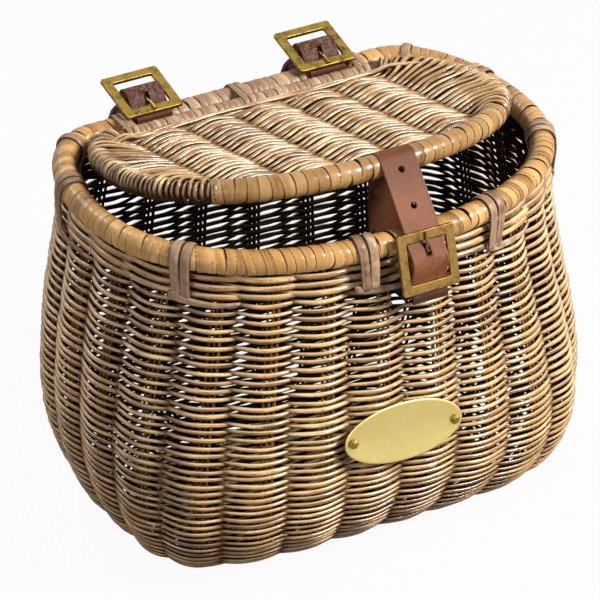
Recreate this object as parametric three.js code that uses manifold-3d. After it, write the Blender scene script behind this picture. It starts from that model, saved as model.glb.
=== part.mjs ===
// Wicker bicycle basket with a hinged lid, a front closing strap and two handlebar straps.
// Millimetres, +Z up, the front looks towards -Y, origin at the centre of the base underside.
import * as THREE from 'three';
import { mergeVertices } from 'three/addons/utils/BufferGeometryUtils.js';
import Module from 'manifold-3d';

const wasm = await Module();
wasm.setup();

// Driving dimensions: basket body
const RIM_HEIGHT = 233;
const RIM_HALF_WIDTH = 151;
const RIM_HALF_DEPTH = 105.5;
const RIM_CORNER = 47;
const RIM_CORE_RADIUS = 5.5;
const RIM_WRAP_RADIUS = 8.1;
const WAIST_Y = 13.5;
const BELLY_HEIGHT = 96;
const BELLY_HALF_WIDTH = 168.5;
const BELLY_HALF_DEPTH = 114.5;
const BASE_HALF_WIDTH = 118;
const BASE_FRONT = -47;
const BASE_BACK = 88;
const BASE_THICKNESS = 6;
const WALL_THICKNESS = 5.5;
const WALL_OUTSET = 3;
const STAKE_COUNT = 24;
const STAKE_OFFSET_X = -15.6;
const SCALLOP_TOP = 0.5;
const SCALLOP_BASE = 2.6;
const TOP_ROUNDNESS = 2.25;
const BASE_ROUNDNESS = 4.7;
const SQUARE_BELOW_RIM = 40;
const SHOULDER_CURVE = 1.5;
const FOOT_CURVE = 2.2;
const SCALLOP_FADE = 0.7;
const COURSE_COUNT = 15;
const COURSE_DEPTH = 3;
const COURSE_LIFT = 1.8;
const GROOVE_AT_STAKE = 0.4;

// Driving dimensions: lid
const LID_INSET = 24;
const LID_DEPTH = 172;
const LID_CORNER = 35;
const LID_OPEN_DEG = 12;
const LID_CORE_RADIUS = 5;
const LID_WRAP_RADIUS = 8;
const LID_BAR_RADIUS = 4.5;
const LID_BAR_WRAP_RADIUS = 5.6;
const LID_BAR_SET_IN = 15.5;
const LID_BAR_RAISE = 3;
const LID_MAT_HALF = 2.6;
const LID_MAT_RIB = 0.9;
const LID_RIB_PITCH = 35.6;
const LID_RIB_OFFSET = -2.2;
const LID_COURSE_COUNT = 11;
const LID_COURSE_DEPTH = 1;
const LID_COURSE_LIFT = 2.4;
const LID_WRAP_CHANGE_X = 98;
const LID_WAIST_SHARE = 0.42;

// Driving dimensions: leather and buckles
const STRAP_WIDTH = 25;
const STRAP_THICKNESS = 2.3;
const FRAME_LENGTH = 39;
const FRAME_WIDTH = 40;
const FRAME_THICKNESS = 2.8;
const FRAME_BAR = 6;
const FRAME_CORNER = { outer: 1.2, inner: 0.8 };
const FRAME_BEVEL = 0.4;
const CENTRE_BAR_RADIUS = 1.7;
const CENTRE_BAR_SET_BACK = 2.2;
const PRONG_RADIUS = 1;
const PRONG_LOOP_HALF = 2.4;
const FRONT_STRAP_X = 8;
const FRONT_BUCKLE = { forward: 16.35, drop: 8.75, lean: 75 };
const REAR_STRAP_X = 63;
const REAR_BUCKLE = { back: 9, rise: 16, lean: 14.5 };
const REAR_NECK_LEAN = -40;
const HANDLEBAR_RADIUS = 11.1;
const HANDLEBAR_ROOM = 0.25;
const HANDLEBAR = { back: 15.8, drop: 21.5 };
const HOLE_RADIUS = 2;
const HOLE_FROM_BEND = 7;
const HOLE_PITCH = 23.5;
const INNER_LEG_DROP = 30;
const LEG_RIVET_OFFSET = 7;
const LEG_RIVET_RISE = { upper: 17, lower: -11 };
const LEG_RIVET = { head: 2.8, shank: 1.2, height: 0.7 };
const FOLD_RIVET = { head: 2.6, shank: 1.2, height: 0.5, along: -14 };
const RIVET_HOLE_RADIUS = 1.5;
const FOLD_SLOT = { half: 3.2, from: -4.6, to: 6, low: -8, high: 2.1 };
const PRONG_HOLE = { half: 1.9, from: 3.3, to: 10.8, reach: 6 };
const STRAP_SLACK = 1.4;
const STRAP_SIDE_ROOM = 2.5;

// Driving dimensions: plate, lashings and clearances
const PLATE_HALF_LENGTH = 42;
const PLATE_HALF_HEIGHT = 21;
const PLATE_THICKNESS = 1.2;
const PLATE_ABOVE_BELLY = 7.8;
const PLATE_X = -5.5;
const PLATE_TURN_DEG = 2.6;
const SCREW_OFFSET = 36.5;
const SCREW = { shank: 1.5, length: 10, head: 3.2, height: 2.1 };
const LASHING_WIDTH = 14;
const CORNER_LASHING_WIDTH = 6;
const HINGE_LOOP_WIDTH = 9;
const LASHING_THICKNESS = 1.3;
const HINGE_LOOP_X = 84;
const GAP = 0.35;
const BINDING_GAP = 0.75;

// Derived values
const rad = THREE.MathUtils.degToRad;
const HINGE_Y = RIM_HALF_DEPTH - LID_BAR_SET_IN;
const HINGE_Z = RIM_HEIGHT + LID_BAR_RAISE;
const LID_HALF_WIDTH = RIM_HALF_WIDTH - LID_INSET;
const LID_BAR_HALF = LID_HALF_WIDTH - LID_CORNER;
const LID_WAIST = -LID_WAIST_SHARE * LID_DEPTH;
const PLATE_Z = BELLY_HEIGHT + PLATE_ABOVE_BELLY;
const WALL_TOP = RIM_HEIGHT - RIM_WRAP_RADIUS - GAP;
const HALF_STRAP = STRAP_WIDTH / 2;
const STRAP_GAP_HALF = HALF_STRAP + STRAP_SIDE_ROOM;
const HALF_THICK = STRAP_THICKNESS / 2;

// Materials
const material = (color, roughness, metalness = 0) => () =>
  new THREE.MeshStandardMaterial({ color, roughness, metalness });
const wicker = material(0x9c7446, 0.7);
const paleWicker = material(0xc9a26a, 0.65);
const cane = material(0xb98a4e, 0.45);
const greyCane = material(0x94785c, 0.6);
const poleWood = material(0x8a643a, 0.7);
const leather = material(0x6b3a26, 0.6);
const oldBrass = material(0x8f7438, 0.4, 1);
const paleBrass = material(0xd9bd6a, 0.35, 1);

const group = new THREE.Group();
group.name = 'wicker_bicycle_basket';
const lid = new THREE.Group();
lid.name = 'lid';
lid.position.set(0, HINGE_Y, HINGE_Z);
lid.rotation.x = -rad(LID_OPEN_DEG);
group.add(lid);

function add(parent, name, geometry, makeMaterial) {
  const mesh = new THREE.Mesh(geometry, makeMaterial());
  mesh.name = name;
  parent.add(mesh);
  return mesh;
}

// Solids: lofts, sleeves, side profiles and cuts
function geometryFrom(points, faces) {
  const geometry = new THREE.BufferGeometry();
  const positions = points.flatMap((p) => [p.x, p.y, p.z]);
  geometry.setAttribute('position', new THREE.Float32BufferAttribute(positions, 3));
  geometry.setIndex(faces);
  return geometry;
}

function signedVolume(points, faces) {
  let sum = 0;
  for (let i = 0; i < faces.length; i += 3) {
    const [a, b, c] = [points[faces[i]], points[faces[i + 1]], points[faces[i + 2]]];
    sum += a.dot(b.clone().cross(c));
  }
  return sum;
}

function closedSolid(points, faces) {
  if (signedVolume(points, faces) < 0) {
    for (let i = 0; i < faces.length; i += 3) {
      [faces[i], faces[i + 1]] = [faces[i + 1], faces[i]];
    }
  }
  const shaded = geometryFrom(points, faces);
  shaded.computeVertexNormals();
  return shaded;
}

function bridge(faces, from, to, count) {
  for (let i = 0; i < count; i += 1) {
    const next = (i + 1) % count;
    faces.push(from + i, from + next, to + next, from + i, to + next, to + i);
  }
}

// A loft through rings with equal point counts; ends are closed by fans unless the loft is a loop.
function loft(rings, loop = false) {
  const count = rings[0].length;
  const points = rings.flat();
  const faces = [];
  const last = rings.length - 1;
  for (let k = 0; k < (loop ? rings.length : last); k += 1) {
    bridge(faces, k * count, ((k + 1) % rings.length) * count, count);
  }
  if (!loop) {
    for (let i = 1; i < count - 1; i += 1) {
      faces.push(0, i + 1, i);
      faces.push(last * count, last * count + i, last * count + i + 1);
    }
  }
  return closedSolid(points, faces);
}

// An open-ended tube: outer rings, inner rings and a flat annulus at each end.
function sleeve(outer, inner) {
  const count = outer[0].length;
  const points = [...outer.flat(), ...inner.flat()];
  const faces = [];
  const half = outer.length * count;
  const last = outer.length - 1;
  for (let k = 0; k < last; k += 1) {
    bridge(faces, k * count, (k + 1) * count, count);
    bridge(faces, half + (k + 1) * count, half + k * count, count);
  }
  bridge(faces, half, 0, count);
  bridge(faces, last * count, half + last * count, count);
  return closedSolid(points, faces);
}

// A side view in (y, z) extruded along X.
function sideExtrusion(contour, x0, x1, holes = []) {
  const shape = new THREE.Shape(contour);
  shape.holes = holes.map((hole) => new THREE.Path(hole));
  const solid = new THREE.ExtrudeGeometry(shape, { depth: x1 - x0, bevelEnabled: false });
  const turn = new THREE.Matrix4().set(0, 0, 1, x0, 1, 0, 0, 0, 0, 1, 0, 0, 0, 0, 0, 1);
  solid.applyMatrix4(turn);
  return solid;
}

function toManifold(geometry) {
  const bare = geometry.clone();
  bare.deleteAttribute('normal');
  bare.deleteAttribute('uv');
  const welded = mergeVertices(bare, 1e-4);
  return new wasm.Manifold(new wasm.Mesh({
    numProp: 3,
    vertProperties: new Float32Array(welded.attributes.position.array),
    triVerts: new Uint32Array(welded.index.array),
  }));
}

function fromManifold(solid) {
  const mesh = solid.getMesh();
  const geometry = new THREE.BufferGeometry();
  geometry.setAttribute('position', new THREE.Float32BufferAttribute(mesh.vertProperties, 3));
  geometry.setIndex([...mesh.triVerts]);
  geometry.computeVertexNormals();
  return geometry;
}

const cut = (geometry, tools) =>
  fromManifold(tools.reduce((solid, tool) => solid.subtract(toManifold(tool)), toManifold(geometry)));
const join = (geometries) =>
  fromManifold(geometries.map(toManifold).reduce((whole, piece) => whole.add(piece)));

function box(x0, x1, y0, y1, z0, z1) {
  const geometry = new THREE.BoxGeometry(x1 - x0, y1 - y0, z1 - z0);
  geometry.translate((x0 + x1) / 2, (y0 + y1) / 2, (z0 + z1) / 2);
  return geometry;
}

// A round rod between two points.
function rod(from, to, radius, sides = 8) {
  const axis = to.clone().sub(from);
  const geometry = new THREE.CylinderGeometry(radius, radius, axis.length(), sides);
  const upright = new THREE.Vector3(0, 1, 0);
  const turn = new THREE.Quaternion().setFromUnitVectors(upright, axis.clone().normalize());
  geometry.applyQuaternion(turn);
  geometry.translate(...from.clone().add(to).multiplyScalar(0.5).toArray());
  return geometry;
}

const v2 = (y, z) => new THREE.Vector2(y, z);
const v3 = (x, y, z) => new THREE.Vector3(x, y, z);

// Plan outlines: a rounded front and a straight back with rounded corners
const PARTS_OF_OUTLINE = 4;
function outlinePoint(level, q) {
  const { half, front, back, waist, corner, power } = level;
  const scaled = (((q % 1) + 1) % 1) * PARTS_OF_OUTLINE;
  if (scaled < 2) {
    const angle = -Math.PI * (scaled / 2);
    const c = Math.cos(angle);
    const s = Math.sin(angle);
    const reach = (Math.abs(c) ** power + Math.abs(s) ** power) ** (-1 / power);
    return v2(half * reach * c, waist + (waist - front) * reach * s);
  }
  if (scaled < 2.75) {
    const turn = ((scaled - 2) / 0.75) * (Math.PI / 2);
    return v2(-half + corner - corner * Math.cos(turn), waist + (back - waist) * Math.sin(turn));
  }
  if (scaled < 3.25) {
    const along = (scaled - 2.75) / 0.5;
    return v2((-half + corner) * (1 - 2 * along), back);
  }
  const turn = ((scaled - 3.25) / 0.75) * (Math.PI / 2);
  return v2(half - corner + corner * Math.sin(turn), waist + (back - waist) * Math.cos(turn));
}

// Evenly spaced outline parameters for one level, from a start on the front.
const FRONT_MIDDLE = 0.25;
function evenParameters(level, count, start = FRONT_MIDDLE) {
  const fine = 1440;
  const lengths = [0];
  let before = outlinePoint(level, start);
  for (let i = 1; i <= fine; i += 1) {
    const here = outlinePoint(level, start + i / fine);
    lengths.push(lengths[i - 1] + here.distanceTo(before));
    before = here;
  }
  const total = lengths[fine];
  const found = [];
  let j = 0;
  for (let i = 0; i < count; i += 1) {
    const target = (total * i) / count;
    while (lengths[j + 1] < target) j += 1;
    found.push(start + (j + (target - lengths[j]) / (lengths[j + 1] - lengths[j])) / fine);
  }
  return found;
}

// The wall: one level for each height
const rimLevel = {
  half: RIM_HALF_WIDTH, front: -RIM_HALF_DEPTH, back: RIM_HALF_DEPTH, waist: WAIST_Y, corner: RIM_CORNER,
  power: TOP_ROUNDNESS,
};

function swell(z, top, belly, base) {
  if (z > BELLY_HEIGHT) {
    const down = (RIM_HEIGHT - z) / (RIM_HEIGHT - BELLY_HEIGHT);
    return top + (belly - top) * Math.sin((Math.PI / 2) * down) ** SHOULDER_CURVE;
  }
  const under = 1 - Math.max(z, 0) / BELLY_HEIGHT;
  return base + (belly - base) * Math.sqrt(1 - under ** FOOT_CURVE);
}

function wallLevel(z, inset = 0) {
  const low = THREE.MathUtils.clamp(1 - z / (RIM_HEIGHT - SQUARE_BELOW_RIM), 0, 1) ** 2;
  return {
    half: swell(z, RIM_HALF_WIDTH + WALL_OUTSET, BELLY_HALF_WIDTH, BASE_HALF_WIDTH) - inset,
    front: swell(z, -RIM_HALF_DEPTH - WALL_OUTSET, -BELLY_HALF_DEPTH, BASE_FRONT) + inset,
    back: swell(z, RIM_HALF_DEPTH + WALL_OUTSET, BELLY_HALF_DEPTH, BASE_BACK) - inset,
    waist: WAIST_Y,
    corner: RIM_CORNER + WALL_OUTSET - inset,
    power: THREE.MathUtils.lerp(TOP_ROUNDNESS, BASE_ROUNDNESS, low),
  };
}

const POINTS_PER_STAKE = 4;
const bellyLevel = wallLevel(BELLY_HEIGHT);
const wallParameters = evenParameters(bellyLevel, STAKE_COUNT * POINTS_PER_STAKE,
  parameterAt(bellyLevel, STAKE_OFFSET_X, true));

// One ring of the wall. It swells over the stakes, and a groove is deepest there.
// Lift makes a course climb and drop.
function wallRing(z, level, scallop, groove = 0, lift = 0) {
  return wallParameters.map((q, i) => {
    const p = outlinePoint(level, q);
    const out = p.clone().sub(v2(0, WAIST_Y)).normalize();
    const turn = (2 * Math.PI * i) / POINTS_PER_STAKE;
    const share = 1 - GROOVE_AT_STAKE + GROOVE_AT_STAKE * Math.cos(turn);
    const wave = scallop * Math.cos(turn) - groove * share;
    return v3(p.x + out.x * wave, p.y + out.y * wave, z + lift * Math.sin(turn));
  });
}

function scallopAt(z) {
  const share = THREE.MathUtils.clamp(z / (RIM_HEIGHT * SCALLOP_FADE), 0, 1);
  return THREE.MathUtils.lerp(SCALLOP_BASE, SCALLOP_TOP, share);
}

const WALL_STEPS = 9;
const FOOT_CROWDING = 1.35;
function wallSolid() {
  const outer = [];
  const inner = [];
  const ridges = 2 * COURSE_COUNT;
  for (let k = 0; k <= ridges; k += 1) {
    const share = (k / ridges) ** FOOT_CROWDING;
    const z = WALL_TOP * share;
    const inside = k > 0 && k < ridges;
    const groove = inside && k % 2 === 0 ? COURSE_DEPTH : 0;
    outer.push(wallRing(z, wallLevel(z), scallopAt(z), groove, inside ? COURSE_LIFT * share : 0));
  }
  for (let k = 0; k <= WALL_STEPS; k += 1) {
    const share = (k / WALL_STEPS) ** FOOT_CROWDING;
    const z = BASE_THICKNESS + (WALL_TOP - BASE_THICKNESS) * share;
    inner.push(wallRing(z, wallLevel(z - BASE_THICKNESS, WALL_THICKNESS), 0));
  }
  const foot = wallRing(0, wallLevel(0, WALL_THICKNESS), 0);
  return loft([...outer, ...inner.reverse(), foot], true);
}

// The base: a flat woven panel inside the foot of the wall
function basePanel() {
  const level = wallLevel(0, WALL_THICKNESS + GAP);
  const lower = wallRing(0, level, 0);
  const upper = wallRing(BASE_THICKNESS, level, 0);
  return loft([lower, upper]);
}
add(group, 'base_panel', basePanel(), wicker);

// Hoops: sections swept along plan outlines
function hoopFrames(level, qs, z) {
  return qs.map((q) => {
    const here = outlinePoint(level, q);
    const ahead = outlinePoint(level, q + 0.0005);
    const behind = outlinePoint(level, q - 0.0005);
    const along = ahead.clone().sub(behind).normalize();
    return { at: v3(here.x, here.y, z), out: v3(-along.y, along.x, 0) };
  });
}

function hoopRings(frames, radius, sides) {
  return frames.map(({ at, out }) => Array.from({ length: sides }, (_, i) => {
    const angle = (2 * Math.PI * i) / sides;
    return at.clone().addScaledVector(out, radius * Math.cos(angle)).add(v3(0, 0, radius * Math.sin(angle)));
  }));
}

// The parameter at which an outline passes a given x, on the front or on the back.
function parameterAt(level, x, onFront) {
  let [low, high] = onFront ? [0, 0.5] : [0.5, 1];
  for (let i = 0; i < 50; i += 1) {
    const middle = (low + high) / 2;
    const tooFar = onFront ? outlinePoint(level, middle).x > x : outlinePoint(level, middle).x < x;
    if (tooFar) low = middle;
    else high = middle;
  }
  return (low + high) / 2;
}

// The shared stations of an outline between two parameters, so that pole and binding bend at the same places.
function span(stations, from, to) {
  const wrapped = stations.map((q) => ((((q - from) % 1) + 1) % 1) + from);
  const inside = wrapped.filter((q) => q > from + 1e-3 && q < to - 1e-3).sort((a, b) => a - b);
  return [from, ...inside, to];
}

// The rim: a bent pole and its cane binding, which stops where the straps go round the pole
const RIM_STEPS = 56;
const HOOP_SIDES = 8;
const rimStations = evenParameters(rimLevel, RIM_STEPS);
const coreFrames = hoopFrames(rimLevel, rimStations, RIM_HEIGHT);
add(group, 'rim_pole', loft(hoopRings(coreFrames, RIM_CORE_RADIUS, HOOP_SIDES), true), poleWood);

const frontLeft = parameterAt(rimLevel, FRONT_STRAP_X - STRAP_GAP_HALF, true);
const frontRight = parameterAt(rimLevel, FRONT_STRAP_X + STRAP_GAP_HALF, true);
const backAt = (x) => parameterAt(rimLevel, x, false);
const rimBindings = [
  ['rim_binding_left', frontLeft, backAt(-REAR_STRAP_X - STRAP_GAP_HALF)],
  ['rim_binding_back', backAt(-REAR_STRAP_X + STRAP_GAP_HALF), backAt(REAR_STRAP_X - STRAP_GAP_HALF)],
  ['rim_binding_right', backAt(REAR_STRAP_X + STRAP_GAP_HALF), frontRight + 1],
];
for (const [name, from, to] of rimBindings) {
  const frames = hoopFrames(rimLevel, span(rimStations, from, to), RIM_HEIGHT);
  const outer = hoopRings(frames, RIM_WRAP_RADIUS, HOOP_SIDES);
  const inner = hoopRings(frames, RIM_CORE_RADIUS + BINDING_GAP, HOOP_SIDES);
  add(group, name, sleeve(outer, inner), cane);
}

// Ribbons: the side view of a band of even thickness
function ribbon(path, thickness) {
  const left = [];
  const right = [];
  path.forEach((p, i) => {
    const before = path[Math.max(i - 1, 0)];
    const after = path[Math.min(i + 1, path.length - 1)];
    const into = p.clone().sub(before);
    const out = after.clone().sub(p);
    if (into.lengthSq() === 0) into.copy(out);
    if (out.lengthSq() === 0) out.copy(into);
    into.normalize();
    out.normalize();
    const normal = v2(-into.y - out.y, into.x + out.x).normalize();
    const stretch = thickness / 2 / Math.max(normal.dot(v2(-out.y, out.x)), 0.5);
    left.push(p.clone().addScaledVector(normal, stretch));
    right.push(p.clone().addScaledVector(normal, -stretch));
  });
  return [...left, ...right.reverse()];
}

function arc(centre, radius, fromDeg, toDeg, stepDeg = 20) {
  const count = Math.max(Math.ceil(Math.abs(toDeg - fromDeg) / stepDeg), 1);
  return Array.from({ length: count + 1 }, (_, i) => {
    const angle = rad(fromDeg + ((toDeg - fromDeg) * i) / count);
    return v2(centre.x + radius * Math.cos(angle), centre.y + radius * Math.sin(angle));
  });
}

// Rim lashings: a band over the rim whose legs lie along both faces of the wall
const lashingSpots = [
  ['rim_lashing_left', -147, false, LASHING_WIDTH], ['rim_lashing_front_left', -127, true, LASHING_WIDTH],
  ['rim_lashing_front', -27.5, true, LASHING_WIDTH], ['rim_lashing_front_right', 65, true, LASHING_WIDTH],
  ['rim_lashing_right', 142, true, LASHING_WIDTH], ['rim_lashing_right_rear', 147, false, LASHING_WIDTH],
  ['rim_lashing_back_left', -122, false, CORNER_LASHING_WIDTH],
  ['rim_lashing_back_right', 122, false, CORNER_LASHING_WIDTH],
];
const LASHING_GAP = 0.85;
const lashReach = RIM_WRAP_RADIUS + LASHING_GAP + LASHING_THICKNESS / 2;
const LASHING_OUTER_DROP = 24;
const LASHING_INNER_DROP = 22;
const LASHING_BEND_DROP = 12;
const LASHING_OUTER_GAP = 4.55;
const LASHING_INNER_GAP = 1.3;
const LASHING_ARC_STEP = 22.5;
const OUTER_LEG = WALL_OUTSET + SCALLOP_TOP + LASHING_THICKNESS / 2 + LASHING_OUTER_GAP;
const INNER_LEG = WALL_OUTSET - WALL_THICKNESS - LASHING_THICKNESS / 2 - LASHING_INNER_GAP;
const lashingPath = [
  v2(OUTER_LEG, -LASHING_OUTER_DROP), v2(OUTER_LEG, -LASHING_BEND_DROP),
  ...arc(v2(0, 0), lashReach, 0, 180, LASHING_ARC_STEP),
  v2(INNER_LEG, -LASHING_BEND_DROP), v2(INNER_LEG, -LASHING_INNER_DROP),
];
for (const [name, x, onFront, width] of lashingSpots) {
  const [{ at, out }] = hoopFrames(rimLevel, [parameterAt(rimLevel, x, onFront)], RIM_HEIGHT);
  const band = sideExtrusion(ribbon(lashingPath, LASHING_THICKNESS), -width / 2, width / 2);
  const up = v3(0, 0, 1);
  const pose = new THREE.Matrix4().makeBasis(out.clone().cross(up), out, up).setPosition(at);
  add(group, name, band.applyMatrix4(pose), greyCane);
}

// Hinge loops: cane bands round the rim and the lid's back bar
const LOOP_ARC_STEP = 24;
function tangentLoop(a, radiusA, b, radiusB) {
  const line = b.clone().sub(a);
  const tilt = THREE.MathUtils.radToDeg(Math.atan2(line.y, line.x));
  const lift = THREE.MathUtils.radToDeg(Math.acos((radiusA - radiusB) / line.length()));
  const roundA = arc(a, radiusA, tilt + lift, tilt + 360 - lift, LOOP_ARC_STEP);
  const roundB = arc(b, radiusB, tilt - lift, tilt + lift, LOOP_ARC_STEP);
  return [...roundA, ...roundB];
}
const rimSpot = v2(RIM_HALF_DEPTH, RIM_HEIGHT);
const barSpot = v2(HINGE_Y, HINGE_Z);
for (const [name, side] of [['hinge_loop_left', -1], ['hinge_loop_middle', 0], ['hinge_loop_right', 1]]) {
  const innerLoop = tangentLoop(rimSpot, RIM_WRAP_RADIUS + GAP, barSpot, LID_BAR_RADIUS + GAP);
  const outerLoop = tangentLoop(rimSpot, RIM_WRAP_RADIUS + GAP + LASHING_THICKNESS, barSpot,
    LID_BAR_RADIUS + GAP + LASHING_THICKNESS);
  const [x0, x1] = [-1, 1].map((edge) => side * HINGE_LOOP_X + (edge * HINGE_LOOP_WIDTH) / 2);
  add(group, name, sideExtrusion(outerLoop, x0, x1, [innerLoop]), greyCane);
}

// The lid: a bent hoop, a straight back bar, their bindings and the woven mat
const lidLevel = {
  half: LID_HALF_WIDTH, front: -LID_DEPTH, back: 0, waist: LID_WAIST, corner: LID_CORNER,
  power: TOP_ROUNDNESS,
};
const LID_STEPS = 50;
const lidStations = evenParameters(lidLevel, LID_STEPS);
const hoopStart = parameterAt(lidLevel, LID_BAR_HALF - GAP / 2, false);
const hoopEnd = parameterAt(lidLevel, -LID_BAR_HALF + GAP / 2, false);
const hoopFramesOpen = hoopFrames(lidLevel, span(lidStations, hoopStart, hoopEnd + 1), 0);
add(lid, 'lid_hoop', loft(hoopRings(hoopFramesOpen, LID_CORE_RADIUS, HOOP_SIDES)), poleWood);
const BAR_SIDES = 12;
const barReach = LID_BAR_HALF - GAP;
add(lid, 'lid_back_bar', rod(v3(-barReach, 0, 0), v3(barReach, 0, 0), LID_BAR_RADIUS, BAR_SIDES), poleWood);

const lidFront = (x) => parameterAt(lidLevel, x, true);
// Shares of the lid's outline: where the end wraps start, and the gap where one binding meets the next
const END_START = 0.03;
const OUTLINE_GAP = 0.0007;
const change = { left: lidFront(-LID_WRAP_CHANGE_X), right: lidFront(LID_WRAP_CHANGE_X) };
const beltLeft = lidFront(FRONT_STRAP_X - STRAP_GAP_HALF);
const beltRight = lidFront(FRONT_STRAP_X + STRAP_GAP_HALF);
const lidBindings = [
  ['lid_end_wrap_right', hoopStart + END_START, change.right + 1 - OUTLINE_GAP, paleWicker],
  ['lid_front_binding_right', change.right + OUTLINE_GAP, beltRight, cane],
  ['lid_front_binding_left', beltLeft, change.left - OUTLINE_GAP, cane],
  ['lid_end_wrap_left', change.left + OUTLINE_GAP, hoopEnd - END_START, paleWicker],
];
for (const [name, from, to, makeMaterial] of lidBindings) {
  const frames = hoopFrames(lidLevel, span(lidStations, from, to), 0);
  const outer = hoopRings(frames, LID_WRAP_RADIUS, HOOP_SIDES);
  const inner = hoopRings(frames, LID_CORE_RADIUS + BINDING_GAP, HOOP_SIDES);
  add(lid, name, sleeve(outer, inner), makeMaterial);
}

function straightSleeve(x0, x1, outerRadius, innerRadius) {
  const ring = (x, radius) => Array.from({ length: BAR_SIDES }, (_, i) => {
    const angle = (2 * Math.PI * i) / BAR_SIDES;
    return v3(x, radius * Math.cos(angle), radius * Math.sin(angle));
  });
  const outer = [ring(x0, outerRadius), ring(x1, outerRadius)];
  const inner = [ring(x0, innerRadius), ring(x1, innerRadius)];
  return sleeve(outer, inner);
}
const LOOP_SIDE_ROOM = 1;
const loopRoomHalf = HINGE_LOOP_WIDTH / 2 + LOOP_SIDE_ROOM;
const barBindEnds = [loopRoomHalf, HINGE_LOOP_X - loopRoomHalf];
for (const [name, x0, x1] of [
  ['lid_back_binding_left', -barBindEnds[1], -barBindEnds[0]],
  ['lid_back_binding_right', barBindEnds[0], barBindEnds[1]],
]) {
  add(lid, name, straightSleeve(x0, x1, LID_BAR_WRAP_RADIUS, LID_BAR_RADIUS + GAP), greyCane);
}

const MAT_EDGE_GAP = 1.6;
const MAT_INSET = LID_WRAP_RADIUS + MAT_EDGE_GAP;
const MAT_BACK_GAP = 1.7;
const MAT_END_TRIM = 1.5;
const STEPS_PER_RIB = 4;
function lidMat() {
  const matLevel = {
    ...lidLevel, half: LID_HALF_WIDTH - MAT_INSET, front: -LID_DEPTH + MAT_INSET,
    back: -LID_BAR_WRAP_RADIUS - MAT_BACK_GAP, corner: LID_CORNER - MAT_INSET / 2,
  };
  const reach = matLevel.half - MAT_END_TRIM;
  const pieces = Math.round((2 * reach) / (LID_RIB_PITCH / STEPS_PER_RIB));
  const ridges = 2 * LID_COURSE_COUNT;
  const narrowing = (near, far) => (far - near) / LID_DEPTH;
  const rings = [];
  for (let k = 0; k <= pieces; k += 1) {
    const x = -reach + (2 * reach * k) / pieces;
    const near = outlinePoint(matLevel, parameterAt(matLevel, x, true)).y;
    const far = outlinePoint(matLevel, parameterAt(matLevel, x, false)).y;
    const turn = (2 * Math.PI * (x - LID_RIB_OFFSET)) / LID_RIB_PITCH;
    const face = Array.from({ length: ridges + 1 }, (_, j) => {
      const inside = j > 0 && j < ridges;
      const lift = inside ? LID_COURSE_LIFT * Math.sin(turn) * narrowing(near, far) : 0;
      const y = near + ((far - near) * j) / ridges + lift;
      return v2(y, LID_MAT_HALF + LID_MAT_RIB * Math.cos(turn) - (j % 2 === 0 ? LID_COURSE_DEPTH : 0));
    });
    rings.push([...face.map((p) => v3(x, p.x, -p.y)), ...face.reverse().map((p) => v3(x, p.x, p.y))]);
  }
  return loft(rings);
}
add(lid, 'lid_mat', lidMat(), paleWicker);

// Buckles: local axes are X across, U towards the bar that the prong rests on, W out of the frame
function buckleAxes(y, z, lean, rear) {
  const c = Math.cos(rad(lean));
  const s = Math.sin(rad(lean));
  const u = rear ? v2(-c, -s) : v2(c, s);
  const w = v2(-s, c);
  const place = (along, out) => v2(y + u.x * along + w.x * out, z + u.y * along + w.y * out);
  return { u, w, place, rear, y, z };
}
const frontAxes = buckleAxes(
  -RIM_HALF_DEPTH - FRONT_BUCKLE.forward, RIM_HEIGHT - FRONT_BUCKLE.drop, FRONT_BUCKLE.lean, false);
const rearAxes = buckleAxes(
  RIM_HALF_DEPTH + REAR_BUCKLE.back, RIM_HEIGHT + REAR_BUCKLE.rise, REAR_BUCKLE.lean, true);

function poseBuckle(geometry, axes, x) {
  const across = axes.rear ? v3(-1, 0, 0) : v3(1, 0, 0);
  const pose = new THREE.Matrix4().makeBasis(across, v3(0, axes.u.x, axes.u.y), v3(0, axes.w.x, axes.w.y));
  pose.setPosition(v3(x, axes.y, axes.z));
  return geometry.applyMatrix4(pose);
}

const PIN_SIDES = 10;
const HALF_FRAME = FRAME_LENGTH / 2;
const HALF_FRAME_WIDTH = FRAME_WIDTH / 2;
function chamfered(halfX, halfY, corner) {
  const quarters = [[1, 1], [-1, 1], [-1, -1], [1, -1]];
  return quarters.flatMap(([x, y]) => {
    const side = v2(x * halfX, y * (halfY - corner));
    const end = v2(x * (halfX - corner), y * halfY);
    return x * y > 0 ? [side, end] : [end, side];
  });
}

function buckleFrame() {
  const shape = new THREE.Shape(chamfered(HALF_FRAME_WIDTH, HALF_FRAME, FRAME_CORNER.outer));
  const window = chamfered(HALF_FRAME_WIDTH - FRAME_BAR, HALF_FRAME - FRAME_BAR, FRAME_CORNER.inner);
  shape.holes.push(new THREE.Path(window));
  const ring = new THREE.ExtrudeGeometry(shape, {
    depth: FRAME_THICKNESS - 2 * FRAME_BEVEL, bevelThickness: FRAME_BEVEL, bevelSize: FRAME_BEVEL,
    bevelOffset: -FRAME_BEVEL, bevelSegments: 1,
  });
  ring.translate(0, 0, -FRAME_THICKNESS / 2 + FRAME_BEVEL);
  const barEnd = HALF_FRAME_WIDTH - FRAME_BAR / 3;
  const [barLeft, barRight] = [-barEnd, barEnd].map((x) => v3(x, 0, -CENTRE_BAR_SET_BACK));
  return join([ring, rod(barLeft, barRight, CENTRE_BAR_RADIUS, PIN_SIDES)]);
}

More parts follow.
